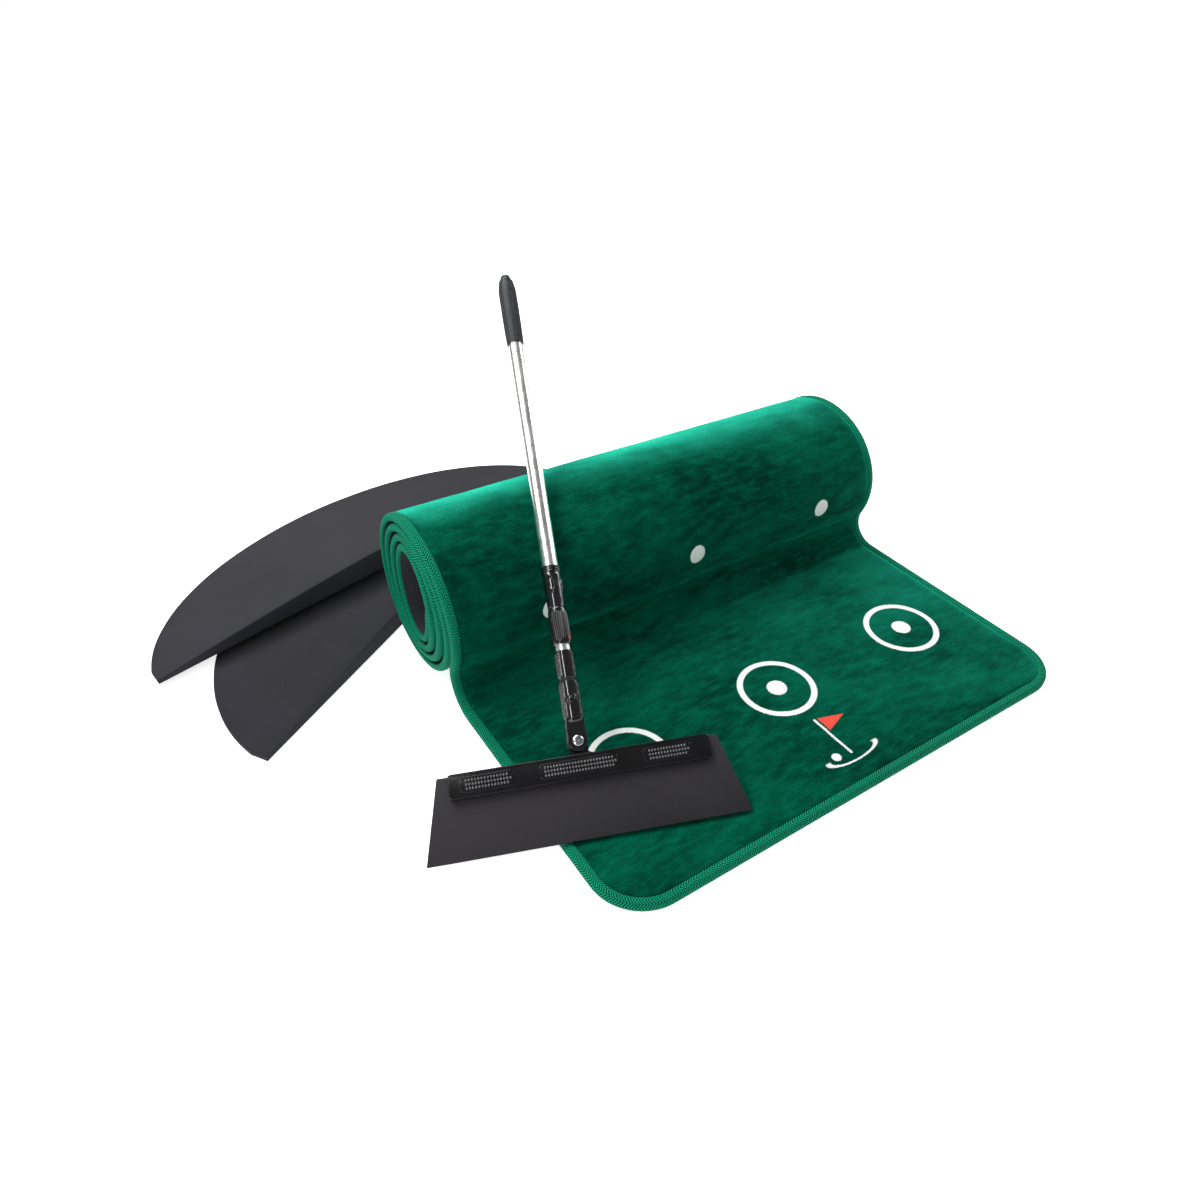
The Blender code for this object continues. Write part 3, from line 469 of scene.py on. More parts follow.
def velvet_material():
    looks = bpy.context.scene.putting_mat
    made, tree, shader = new_material("velvet_pile", Sheen_Weight=0.70, Sheen_Roughness=0.25,
                                      Sheen_Tint=(0.02, 0.95, 0.64, 1.0), Specular_IOR_Level=0.01)
    if tree is None:
        return made
    vector = flat_vector(tree, "flat")
    nap = use_group(tree, kept_group("Brushed Nap", build_nap), {"Vector": vector})
    base = blend_color(tree, nap.outputs["Patch"], looks.pile_shade, looks.pile_color)
    lit = times(tree, nap.outputs["Streak"], 0.30)
    base = blend_color(tree, lit, base, looks.pile_light)
    # Painted sheen and top light: where the pile is seen at a grazing angle and faces up, its colour is
    # blended towards the bright sheen green, more in some nap patches than others, so the roll's top is
    # painted lighter and downward-facing pile keeps its darker colour as painted shade.
    facing = add_node(tree, "LayerWeight", {"Blend": 0.5}).outputs["Facing"]
    normal = add_node(tree, "TexCoord").outputs["Normal"]
    upward = add_node(tree, "SeparateXYZ", {0: normal}).outputs[2]
    slanting = smooth_step(tree, facing, 0.26, 0.90)
    sheen = times(tree, slanting, smooth_step(tree, upward, -0.25, 0.45))
    brushed = plus(tree, 0.38, times(tree, nap.outputs["Patch"], 0.58))
    sheen = times(tree, sheen, brushed)
    base = blend_color(tree, sheen, base, looks.pile_painted_sheen)
    tuft = times(tree, minus(tree, 1.0, nap.outputs["Tuft"]), 0.62)
    base = blend_color(tree, tuft, base, looks.pile_shade)
    spread = times(tree, minus(tree, nap.outputs["Tuft"], 0.5), 0.0011)
    marks = use_group(tree, kept_group("Printed Marks", build_marks),
                      {"Vector": vector, "Spread": spread})
    worn = minus(tree, 1.0, times(tree, tuft, 0.28))
    for mark, color in (("White", looks.print_color), ("Pennant", looks.pennant_color)):
        base = blend_color(tree, times(tree, marks.outputs[mark], worn), base, color)
    tree.links.new(base, shader.inputs["Base Color"])
    roughen(tree, shader, nap.outputs["Patch"], 0.95, 0.78)
    height = plus(tree, times(tree, nap.outputs["Tuft"], 0.4), nap.outputs["Streak"])
    raise_surface(tree, shader, height, 0.0008, 0.60)
    return made


def tape_material():
    looks = bpy.context.scene.putting_mat
    made, tree, shader = new_material("woven_tape", Specular_IOR_Level=0.08)
    if tree is None:
        return made
    vector = flat_vector(tree, "along")
    twill = use_group(tree, kept_group("Herringbone Twill", build_twill), {"Vector": vector})
    shade = tuple(c * 0.10 for c in looks.tape_color)
    base = blend_color(tree, twill.outputs["Rib"], shade, looks.tape_color)
    fade = times(tree, smooth_step(tree, cloud(tree, vector, 22.0, 4.0), 0.35, 0.7), 0.35)
    base = blend_color(tree, fade, base, tuple(c * 0.55 for c in looks.tape_color))
    tree.links.new(base, shader.inputs["Base Color"])
    roughen(tree, shader, twill.outputs["Rib"], 0.95, 0.68)
    raise_surface(tree, shader, twill.outputs["Height"], 0.0009, 1.0)
    return made


def backing_material():
    looks = bpy.context.scene.putting_mat
    made, tree, shader = new_material("grey_backing", Specular_IOR_Level=0.2)
    if tree is None:
        return made
    grain = use_grain(tree, flat_vector(tree, "flat"), 520.0, 9.0)
    dark, light = (tuple(c * share for c in looks.backing_color) for share in (0.55, 1.5))
    base = blend_color(tree, grain.outputs["Grain"], dark, light)
    tree.links.new(base, shader.inputs["Base Color"])
    roughen(tree, shader, grain.outputs["Cloud"], 0.82, 0.97)
    raise_surface(tree, shader, grain.outputs["Grain"], 0.0004)
    return made


def grained(name, color, grain_scale, cloud_scale, rough, depth, contrast, fleck=0.0, **constants):
    """A material of one colour with grain, clouds and flecks in it."""
    made, tree, shader = new_material(name, **constants)
    if tree is None:
        return made
    grain = use_grain(tree, object_vector(tree), grain_scale, cloud_scale)
    low = tuple(c * (1 - contrast) for c in color)
    high = tuple(min(1.0, c * (1 + contrast)) for c in color)
    base = blend_color(tree, grain.outputs["Cloud"], low, high)
    base = blend_color(tree, times(tree, grain.outputs["Grain"], 0.35), base, low)
    if fleck:
        light = tuple(min(1.0, c * 2.6) for c in color)
        base = blend_color(tree, times(tree, grain.outputs["Fleck"], fleck), base, light)
    tree.links.new(base, shader.inputs["Base Color"])
    roughen(tree, shader, grain.outputs["Cloud"], *rough)
    raise_surface(tree, shader, grain.outputs["Grain"], depth)
    return made


def foam_material():
    color = bpy.context.scene.putting_wedges.foam_color
    return grained("charcoal_foam", color, 720.0, 7.0, (0.82, 0.96), 0.00050, 0.22, 0.45,
                   Specular_IOR_Level=0.16, Sheen_Weight=0.05)


def blade_material():
    return grained("rubber_blade", bpy.context.scene.putting_rake.blade_color, 1300.0, 10.0,
                   (0.62, 0.76), 0.00012, 0.14, 0.10, Specular_IOR_Level=0.25)


def plastic_material():
    return grained("gloss_plastic", bpy.context.scene.putting_rake.plastic_color, 1500.0, 60.0,
                   (0.12, 0.20), 0.00001, 0.2, Coat_Weight=0.6, Coat_Roughness=0.06)


def carrier_material():
    return grained("carrier_plastic", bpy.context.scene.putting_rake.plastic_color, 1200.0, 30.0,
                   (0.18, 0.25), 0.00001, 0.2)


def ridge_highlight_material():
    # Painted highlight: the ridges' colour is made far lighter than the carrier's black plastic, standing
    # in for the glints off their glossy domes.
    color = tuple(0.075 + 4 * c for c in bpy.context.scene.putting_rake.plastic_color)
    return grained("ridge_painted_highlight", color, 1500.0, 60.0, (0.16, 0.24), 0.00001, 0.15, Coat_Weight=0.5)


def grip_material():
    return grained("rubber_grip", bpy.context.scene.putting_rake.grip_color, 1400.0, 40.0,
                   (0.44, 0.58), 0.00006, 0.2, Specular_IOR_Level=0.30)


def tube_material():
    color = bpy.context.scene.putting_rake.metal_color
    return grained("polished_tube", color, 1800.0, 50.0, (0.24, 0.32), 0.000004, 0.03, Metallic=1.0)


def steel_material():
    return grained("plated_steel", (0.62, 0.62, 0.63), 1500.0, 160.0, (0.16, 0.30), 0.00001, 0.08,
                   Metallic=1.0)


def nylon_material():
    return grained("natural_nylon", (0.58, 0.57, 0.52), 900.0, 80.0, (0.42, 0.55), 0.00003, 0.08)


def red_material():
    return grained("red_paint", (0.50, 0.018, 0.015), 1500.0, 200.0, (0.25, 0.35), 0.00001, 0.1)


# ---------------------------------------------------------------- shape helpers

def finish_piece(name, bm, material, body, nodes=(), sharp=35):
    bmesh.ops.recalc_face_normals(bm, faces=bm.faces)
    mesh = bpy.data.meshes.new(name)
    bm.to_mesh(mesh)
    bm.free()
    mesh.materials.append(material)
    mesh.shade_smooth()
    if sharp:
        mesh.set_sharp_from_angle(angle=math.radians(sharp))
    piece = bpy.data.objects.new(name, mesh)
    bpy.context.scene.collection.objects.link(piece)
    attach(piece, body)
    if nodes:
        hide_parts(*nodes)
    return piece


def dress_node(name, material):
    """Give a CAD node its finish."""
    piece = bpy.data.objects[name]
    for slot in piece.material_slots:
        slot.material = material
    if not piece.material_slots:
        piece.data.materials.append(material)


def placed(bm, matrix):
    bmesh.ops.transform(bm, matrix=matrix, verts=bm.verts)
    return bm


def joined(first, *others):
    """Put the shapes of several bmeshes in the first one."""
    for other in others:
        holder = bpy.data.meshes.new("holder")
        other.to_mesh(holder)
        other.free()
        first.from_mesh(holder)
        bpy.data.meshes.remove(holder)
    return first


def closer(profile, step):
    """The profile with more points where it runs along the pole."""
    points = []
    for (r0, h0), (r1, h1) in zip(profile, profile[1:] + profile[:1]):
        count = max(1, round(abs(h1 - h0) / step)) if min(r0, r1) > 0.0098 else 1
        points += [(r0 + (r1 - r0) * i / count, h0 + (h1 - h0) * i / count) for i in range(count)]
    return points


def turned(profile, steps, axis="Y"):
    """Solid of revolution. The profile is a ring of (radius, height) points."""
    bm = bmesh.new()
    up = Vector((0, 1, 0)) if axis == "Y" else Vector((0, 0, 1))
    verts = [bm.verts.new(Vector((r, 0, 0)) + up * h) for r, h in profile]
    closed = not (profile[0][0] == 0 and profile[-1][0] == 0)
    pairs = list(zip(verts, verts[1:]))
    if closed:
        pairs.append((verts[-1], verts[0]))
    edges = [bm.edges.new(pair) for pair in pairs]
    bmesh.ops.spin(bm, geom=verts + edges, cent=(0, 0, 0), axis=up, dvec=(0, 0, 0),
                   angle=2 * math.pi, steps=steps, use_merge=True, use_duplicate=False)
    bmesh.ops.remove_doubles(bm, verts=bm.verts, dist=1e-6)
    return bm


def relieved(bm, height_at, floor):
    """Raise the outer wall of a turned piece by a function of angle from the front and height."""
    for vert in bm.verts:
        radius = math.hypot(vert.co.x, vert.co.z)
        if radius > floor:
            angle = math.atan2(vert.co.x, vert.co.z)
            grown = (radius + height_at(angle, vert.co.y)) / radius
            vert.co.x *= grown
            vert.co.z *= grown
    return bm


def plate(outline, low, high, soften=0.0, segments=2, only_top=False):
    """A flat outline in x and y, given thickness in z, with its rims rounded."""
    bm = bmesh.new()
    face = bm.faces.new([bm.verts.new((x, y, low)) for x, y in outline])
    grown = bmesh.ops.extrude_face_region(bm, geom=[face])
    verts = [v for v in grown["geom"] if isinstance(v, bmesh.types.BMVert)]
    bmesh.ops.translate(bm, verts=verts, vec=(0, 0, high - low))
    if soften:
        rims = [e for e in bm.edges if abs(e.verts[0].co.z - e.verts[1].co.z) < 1e-7
                and (e.verts[0].co.z > (low + high) / 2 or not only_top)]
        bmesh.ops.bevel(bm, geom=rims, offset=soften, offset_type="OFFSET", affect="EDGES",
                        segments=segments, profile=0.5, material=-1)
    return bm


def arc(cx, cy, radius, start, end, steps):
    angles = [math.radians(start + (end - start) * i / steps) for i in range(steps + 1)]
    return [(cx + radius * math.cos(a), cy + radius * math.sin(a)) for a in angles]


def rounded_box(cx, cy, width, height, radius, steps):
    x, y = width / 2 - radius, height / 2 - radius
    points = []
    for i, (sx, sy) in enumerate(((1, 1), (-1, 1), (-1, -1), (1, -1))):
        points += arc(cx + sx * x, cy + sy * y, radius, 90 * i, 90 * i + 90, steps)
    return points


def rod(radius, low, high, steps):
    return turned([(0, low), (radius, low), (radius, high), (0, high)], steps, "Z")


def cut_out(bm, cutter):
    """The shape with the cutter taken away."""
    shapes = []
    for label, source in (("shape", bm), ("cutter", cutter)):
        bmesh.ops.recalc_face_normals(source, faces=source.faces)
        mesh = bpy.data.meshes.new(label)
        source.to_mesh(mesh)
        source.free()
        holder = bpy.data.objects.new(label, mesh)
        bpy.context.scene.collection.objects.link(holder)
        shapes.append(holder)
    cut = shapes[0].modifiers.new("cut", "BOOLEAN")
    cut.operation = "DIFFERENCE"
    cut.solver = "EXACT"
    cut.object = shapes[1]
    view = bpy.context.evaluated_depsgraph_get()
    result = bpy.data.meshes.new_from_object(shapes[0].evaluated_get(view))
    made = bmesh.new()
    made.from_mesh(result)
    bpy.data.meshes.remove(result)
    for holder in shapes:
        mesh = holder.data
        bpy.data.objects.remove(holder)
        bpy.data.meshes.remove(mesh)
    return made


def joint(name):
    return next(j for j in frame["record"]["behaviour"]["joints"] if j["name"] == name)


def frame_matrix(origin, x, y, z):
    return Matrix.Translation(origin) @ Matrix((x, y, z)).transposed().to_4x4()


def rake_frames():
    """The head's frame (edge, up, out) and the pole's, both at the pivot."""
    pivot = Vector(joint("head_pivot")["pos_m"])
    out = -Vector(joint("head_pivot")["axis"]).normalized()
    along = Vector(joint("pole_telescope")["axis"]).normalized()
    edge = Vector((0, 0, 1)).cross(out).normalized()
    head = frame_matrix(pivot, edge, out.cross(edge), out)
    return head, frame_matrix(pivot, along.cross(out), along, out)


HEAD, POLE = rake_frames()


# ---------------------------------------------------------------- rolled mat

class Roll:
    """The mat's underside, seen from its left end, as a path in y and z."""

    def __init__(self):
        self.pitch_y = BINDING_THICKNESS + TURN_SLACK_SIDE
        self.pitch_z = (BINDING_THICKNESS + TURN_SLACK_TOP) / (1 - ROLL_TAPER / 2)
        low, high = 0.5, 40.0
        for _ in range(50):
            turns = (low + high) / 2
            self.lay(turns)
            if self.s[-1] < MAT_LENGTH:
                low = turns
            else:
                high = turns
        self.s[-1] = MAT_LENGTH

    def lay(self, turns):
        """Lay the tongue, the bend and the turns, with the bend meeting the outer turn smoothly."""
        full = 2 * math.pi
        under = MAT_THICKNESS + BEND_RADIUS
        half_z = CORE_HALF_HEIGHT + self.pitch_z * turns
        drop = 0.45                     # first guess of the angle at which the tongue meets the roll
        for _ in range(30):
            rise = half_z - self.pitch_z * (0.75 * full + drop) / full + BINDING_THICKNESS
            drop = math.asin((rise - under) / (half_z + under))
        half_y = CORE_HALF_WIDTH + self.pitch_y * turns
        turn_up = np.linspace(0, math.pi / 2 + drop, 33)
        bend_y = TONGUE_LENGTH + under * np.sin(turn_up)
        bend_z = under * (1 - np.cos(turn_up))
        self.centre_y = bend_y[-1] + half_y * math.cos(drop)
        self.centre_z = rise
        angle = np.linspace(-drop, turns * full - drop, int(turns * 24) * 8 + 1)
        left = turns - (angle + drop) / full
        wind_y = self.centre_y - (CORE_HALF_WIDTH + self.pitch_y * left) * np.cos(angle)
        wind_z = self.centre_z + (CORE_HALF_HEIGHT + self.pitch_z * left) * np.sin(angle)
        flat = np.linspace(0, TONGUE_LENGTH, 7)
        self.y = np.concatenate([flat[:-1], bend_y[:-1], wind_y])
        self.z = np.concatenate([flat[:-1] * 0, bend_z[:-1], wind_z])
        steps = np.hypot(np.diff(self.y), np.diff(self.z))
        self.s = np.concatenate([[0], np.cumsum(steps)])
        lead_y, lead_z = np.gradient(self.y, self.s), np.gradient(self.z, self.s)
        size = np.hypot(lead_y, lead_z)
        self.lead_y, self.lead_z = lead_y / size, lead_z / size

    def place(self, x, s, t, wave):
        """World position of a point of the flat mat."""
        y, z = np.interp(s, self.s, self.y), np.interp(s, self.s, self.z)
        lead_y, lead_z = np.interp(s, self.s, self.lead_y), np.interp(s, self.s, self.lead_z)
        size = math.hypot(lead_y, lead_z)
        z += max(0.0, z - BINDING_THICKNESS) * -ROLL_TAPER * x / MAT_WIDTH
        rolled = min(1.0, max(0.0, (s - 0.30) / 0.30))
        x += wave * rolled * noise.noise(Vector((s * 4.3, 2.7, 0.4))) * 2
        return Vector((x, Y_FRONT + y - t * lead_z / size, z + t * lead_y / size))


ROLL = Roll()


def wrap(bm):
    """Roll up a shape drawn on the flat mat, its place kept in a map."""
    wave = bpy.context.scene.putting_mat.edge_wave
    for vert in bm.verts:
        vert.co = ROLL.place(*vert.co, wave)
    return bm


def corner_angles():
    return [math.pi / 2 * i / CORNER_STEPS for i in range(CORNER_STEPS + 1)]


def places_along(step, rolled_step):
    """Places along the mat between its corners, closer where it shows."""
    low, high, near = CORNER_RADIUS, MAT_LENGTH - CORNER_RADIUS, OUTER_TURN_END
    first = list(np.linspace(low, near, round((near - low) / step) + 1))
    rest = list(np.linspace(near, high, round((high - near) / rolled_step) + 1))
    return first + rest[1:]


def layer_rows(inset):
    """Rows of a layer with rounded corners: place along the mat and half its width."""
    radius = CORNER_RADIUS - inset
    side = MAT_WIDTH / 2 - CORNER_RADIUS
    near = [(inset + radius * (1 - math.cos(a)), side + radius * math.sin(a))
            for a in corner_angles()]
    far = [(MAT_LENGTH - s, half) for s, half in reversed(near)]
    middle = [(s, side + radius) for s in places_along(*LAYER_ROWS)[1:-1]]
    return near + middle + far


def layer_grid(inset, columns):
    """One flat layer of the mat, with extra columns close to its edges."""
    rows = layer_rows(inset)
    bm = bmesh.new()
    bmesh.ops.create_grid(bm, x_segments=columns, y_segments=len(rows) - 1, size=1)
    for vert in bm.verts:
        s, half = rows[round((vert.co.y + 1) / 2 * (len(rows) - 1))]
        column = round((vert.co.x + 1) / 2 * columns)
        edge = min(column, columns - column)
        if edge < len(EDGE_COLUMNS):
            across = half - EDGE_COLUMNS[edge]
        else:
            across = (half - EDGE_COLUMNS[-1]) * (1 - 2 * (edge - 2) / (columns - 4))
        vert.co = Vector((math.copysign(across, column - columns / 2), s, 0))
    return bm


def keep_flat_map(bm):
    """Keep where each point lies on the flat mat."""
    layer = bm.loops.layers.uv.new("flat")
    for face in bm.faces:
        for loop in face.loops:
            loop[layer].uv = loop.vert.co.xy
    return bm


def edge_distance(x, s, inset):
    """How far a point of the flat mat is from a layer's outline."""
    radius = CORNER_RADIUS - inset
    dx = MAT_WIDTH / 2 - inset - abs(x)
    ds = min(s, MAT_LENGTH - s) - inset
    if dx < radius and ds < radius:
        return radius - math.hypot(radius - dx, radius - ds)
    return min(dx, ds)


def thick_layer(inset, low, high, columns, swell=0.0, soften=0.0):
    """A layer of the mat rolled up, its upper side swollen a little and its rim rounded off."""
    bm = layer_grid(inset, columns)
    grown = bmesh.ops.extrude_face_region(bm, geom=list(bm.faces))
    top = [v for v in grown["geom"] if isinstance(v, bmesh.types.BMVert)]
    keep_flat_map(bm)
    for vert in bm.verts:
        vert.co.z = low
    for vert in top:
        x, s = vert.co.x, vert.co.y
        rim = max(0.0, 1 - edge_distance(x, s, inset) / PILE_RIM)
        bumps = noise.fractal(Vector((x * 18, s * 26, 0.3)), 0.6, 2.0, 3)
        vert.co.z = high + swell * bumps - soften * rim * rim
    return wrap(bm)


def mat_outline():
    """The mat's outline as corner centre or edge point, direction inward and length so far."""
    side = MAT_WIDTH / 2 - CORNER_RADIUS
    quarter = [(side, CORNER_RADIUS, -math.sin(a), math.cos(a)) for a in corner_angles()]
    right = [(side, s, -1.0, 0.0) for s in places_along(*TAPE_ROWS)[1:-1]]
    far = [(x, MAT_LENGTH - s, nx, -ns) for x, s, nx, ns in reversed(quarter)]
    path = quarter + right + far
    path = path + [(-x, s, -nx, ns) for x, s, nx, ns in reversed(path)]
    long, spaced = 0.0, []
    for i, point in enumerate(path + path[:1]):
        here = Vector((point[0] - point[2] * CORNER_RADIUS, point[1] - point[3] * CORNER_RADIUS))
        long += (here - last).length if i else 0.0
        last = here
        spaced.append((point, long))
    return spaced


def tape_shape():
    """Tape round the whole edge: a round outer fold and a flap over the backing."""
    flap, top, wide, wall = BACKING_THICKNESS + GAP, BINDING_THICKNESS, BINDING_WIDTH, BINDING_WALL
    profile = [(0.0010, 0.0001), (wall, 0), (wall, flap), ((wall + wide) / 2, flap), (wide, flap),
               (wide, top - 0.0032), (wide - 0.0007, top - 0.0014), (wide - 0.0024, top - 0.0003),
               (wide * 0.62, top), (wide * 0.42, top), (0.0036, top - 0.0004), (0.0018, top - 0.0016),
               (0.0006, top - 0.0034), (0.0, top - 0.0056), (0.0001, 0.0026), (0.0004, 0.0010)]
    round_profile, up = [0.0], 0.0
    for (a, b), (c, d) in zip(profile, profile[1:] + profile[:1]):
        up += math.hypot(c - a, d - b)
        round_profile.append(up)
    path = mat_outline()
    count, around = len(path) - 1, len(profile)
    bm = bmesh.new()
    bmesh.ops.create_grid(bm, x_segments=count, y_segments=around, size=1)
    layer = bm.loops.layers.uv.new("along")
    spot = {v: (round((v.co.x + 1) / 2 * count), round((v.co.y + 1) / 2 * around)) for v in bm.verts}
    for face in bm.faces:
        for loop in face.loops:
            i, j = spot[loop.vert]
            loop[layer].uv = (path[i][1], round_profile[j])
    for vert, (i, j) in spot.items():
        x, s, nx, ns = path[i % count][0]
        inward, height = profile[j % around]
        out = inward - CORNER_RADIUS
        if 5 <= j % around <= 13:
            height += 0.00025 * noise.noise(Vector((path[i % count][1] * 60, j * 0.3, 0)))
        vert.co = Vector((x + nx * out, s + ns * out, height))
    bmesh.ops.remove_doubles(bm, verts=bm.verts, dist=1e-6)
    return wrap(bm)


# ---------------------------------------------------------------- foam wedges

def wedge_depth(x):
    half = WEDGE_LENGTH / 2
    reach = half / math.sqrt(1 - WEDGE_SHARE ** 2)
    full = (WEDGE_DEPTH - WEDGE_TIP) / (1 - WEDGE_SHARE)
    return WEDGE_TIP + full * (math.sqrt(1 - (x / reach) ** 2) - WEDGE_SHARE)


def wedge_height(x, y):
    half = WEDGE_LENGTH / 2
    edge = WEDGE_RIM + (WEDGE_HEIGHT - WEDGE_RIM) * (1 - abs(x / half) ** WEDGE_FULLNESS)
    return WEDGE_RIM + (edge - WEDGE_RIM) * (1 - y / wedge_depth(x))


def wedge_shape(seed):
    """Half-round foam slope: a tall straight edge that falls away to a thin round one."""
    bm = bmesh.new()
    bmesh.ops.create_grid(bm, x_segments=84, y_segments=22, size=1)
    for vert in bm.verts:
        x = -WEDGE_LENGTH / 2 * math.cos(math.pi * (vert.co.x + 1) / 2)
        vert.co = Vector((x, (vert.co.y + 1) / 2 * wedge_depth(x), 0))
    grown = bmesh.ops.extrude_face_region(bm, geom=list(bm.faces))
    top = [v for v in grown["geom"] if isinstance(v, bmesh.types.BMVert)]
    for vert in top:
        uneven = 0.0004 * noise.noise(Vector((vert.co.x * 14, vert.co.y * 14, seed)))
        vert.co.z = wedge_height(vert.co.x, vert.co.y) + uneven
    bmesh.ops.recalc_face_normals(bm, faces=bm.faces)
    rims = [e for e in bm.edges if len(e.link_faces) == 2 and e.calc_face_angle() > math.radians(40)]
    edge_round = bpy.context.scene.putting_wedges.edge_round
    bmesh.ops.bevel(bm, geom=rims, offset=edge_round, offset_type="OFFSET", affect="EDGES",
                    segments=3, profile=0.5, material=-1, clamp_overlap=True)
    return bm


def wedge_poses():
    """Where the two wedges lie: one flat on the floor, the other tilted across it."""
    slope = WEDGE_HEIGHT / WEDGE_LENGTH
    tilt = (Matrix.Rotation(-math.atan(slope * UPPER_WEDGE_LEAN[0]), 4, "Y")
            @ Matrix.Rotation(math.atan(slope * UPPER_WEDGE_LEAN[1]), 4, "X"))
    lower_turn, upper_turn = (Matrix.Rotation(math.radians(turn), 4, "Z")
                              for turn in (LOWER_WEDGE_TURN, UPPER_WEDGE_TURN))
    return (Matrix.Translation(LOWER_WEDGE_PLACE) @ lower_turn,
            Matrix.Translation(UPPER_WEDGE_PLACE) @ tilt @ upper_turn)


# ---------------------------------------------------------------- rake shapes

def studs(angle, height, low, high, depth):
    """Rows of small square studs on both sides, leaving plain strips in front and behind."""
    front, back = STUD_SIDES
    turn = abs(angle)
    if not (low < height < high and front < turn < back):
        return 0.0
    fade = min(1.0, (turn - front) / 0.08, (back - turn) / 0.08,
               (height - low) / 0.001, (high - height) / 0.001)
    across = math.sin(math.pi * turn * BARREL_RADIUS / STUD_PITCH)
    along = math.sin(math.pi * height / STUD_PITCH)
    return depth * fade * min(1.0, 2.2 * abs(across * along))


def barrel_shape():
    """Clevis barrel with its rounded foot, moulded studs and the well of the snap button."""
    depth = bpy.context.scene.putting_rake.knurl_depth
    r = BARREL_RADIUS
    foot = [(r * math.sin(a), BARREL_START + 0.0062 * (1 - math.cos(a)))
            for a in np.linspace(0, math.pi / 2, 9)]
    profile = foot + [(r, BARREL_END - 0.0006), (r - 0.0005, BARREL_END), (BORE, BARREL_END),
                      (BORE, BARREL_SEAT), (0, BARREL_SEAT)]
    bm = turned(outer_rows(profile, 0.0005), 150)
    low, high = BARREL_START + 0.0085, BARREL_END - 0.0012

    def height_at(angle, height):
        near = math.hypot(angle * r, height - BUTTON_PLACE)
        if near < 0.0085:
            ring = 1.0 - min(1.0, abs(near - 0.0062) / 0.0011)
            return 0.00035 * ring
        return studs(angle, height, low, high, depth)

    return button_well(relieved(bm, height_at, BORE + 0.001))


def button_well(bm):
    """Cut the hole that the snap button stands in."""
    well = rod(BUTTON_RADIUS + 0.0004, 0.003, 0.02, 40)
    return cut_out(bm, placed(well, Matrix.Translation((0, BUTTON_PLACE, 0))))


def outer_rows(profile, step):
    """An open profile from axis to axis, with close rows on its long outer stretches."""
    points = [profile[0]]
    for (r0, h0), (r1, h1) in zip(profile, profile[1:]):
        count = max(1, round(abs(h1 - h0) / step)) if min(r0, r1) > BORE + 0.0008 else 1
        points += [(r0 + (r1 - r0) * i / count, h0 + (h1 - h0) * i / count) for i in range(1, count + 1)]
    return points


def ears_shape():
    """Two ears with round feet either side of the pivot tongue."""
    outer = EAR_INNER + EAR_THICKNESS
    top = BARREL_START + 0.0072
    neck = BARREL_RADIUS * 0.93
    outline = [(neck, top), (-neck, top), (-neck, BARREL_START - 0.003)]
    outline += arc(0, 0, EAR_RADIUS, 172, 368, 36) + [(neck, BARREL_START - 0.003)]
    shapes = []
    for low, high in ((EAR_INNER, outer), (-outer, -EAR_INNER)):
        ear = plate(outline, low, high, 0.0009, 3)
        shapes.append(cut_out(ear, rod(PIVOT_SHANK + GAP, -0.02, 0.02, 32)))
    boss = turned([(PIVOT_HEAD + 0.0005, outer - 0.0002), (PIVOT_HEAD + 0.0019, outer - 0.0002),
                   (PIVOT_HEAD + 0.0016, outer + 0.0007), (PIVOT_HEAD + 0.0009, outer + 0.0007)], 56, "Z")
    return joined(shapes[0], shapes[1], boss)


def pivot_screw_shape():
    """Pan-head screw with a cross recess."""
    face = EAR_INNER + EAR_THICKNESS + GAP
    r, tall = PIVOT_HEAD, 0.0032
    tail = -face - 0.0042 - 0.0012
    dome = [(r * math.cos(a), face + 0.0009 + (tall - 0.0009) * math.sin(a))
            for a in np.linspace(0, math.pi / 2, 12)]
    bm = turned([(0, tail), (PIVOT_SHANK - 0.0004, tail), (PIVOT_SHANK, tail + 0.0005),
                 (PIVOT_SHANK, face), (r - 0.0003, face), (r, face + 0.0004)]
                + dome[:-1] + [(0, face + tall)], 64, "Z")
    top = face + tall
    for size in ((0.0068, 0.0013), (0.0013, 0.0068)):
        bm = cut_out(bm, plate(rounded_box(0, 0, *size, 0.0005, 3), top - 0.0016, top + 0.002))
    pit = [(0, top - 0.0021), (0.0008, top - 0.0021), (0.0017, top + 0.001), (0, top + 0.001)]
    return cut_out(bm, turned(pit, 24, "Z"))


def blade_shape():
    """Thin flexible blade, wider at its working edge, notched round the pivot tongue."""
    carrier_top = -PIVOT_RISE
    top, bottom = carrier_top - CARRIER_LIP, carrier_top - CARRIER_LIP - BLADE_HEIGHT
    notch, notch_bottom = TONGUE_FOOT / 2 + GAP, carrier_top - TONGUE_DEPTH - GAP
    half = BLADE_THICKNESS / 2
    outline = [(-BLADE_WIDTH / 2, bottom), (BLADE_WIDTH / 2, bottom), (BLADE_TOP_WIDTH / 2, top),
               (notch, top), (notch, notch_bottom), (-notch, notch_bottom), (-notch, top),
               (-BLADE_TOP_WIDTH / 2, top)]
    return plate(outline, -half, half, 0.0005, 2)


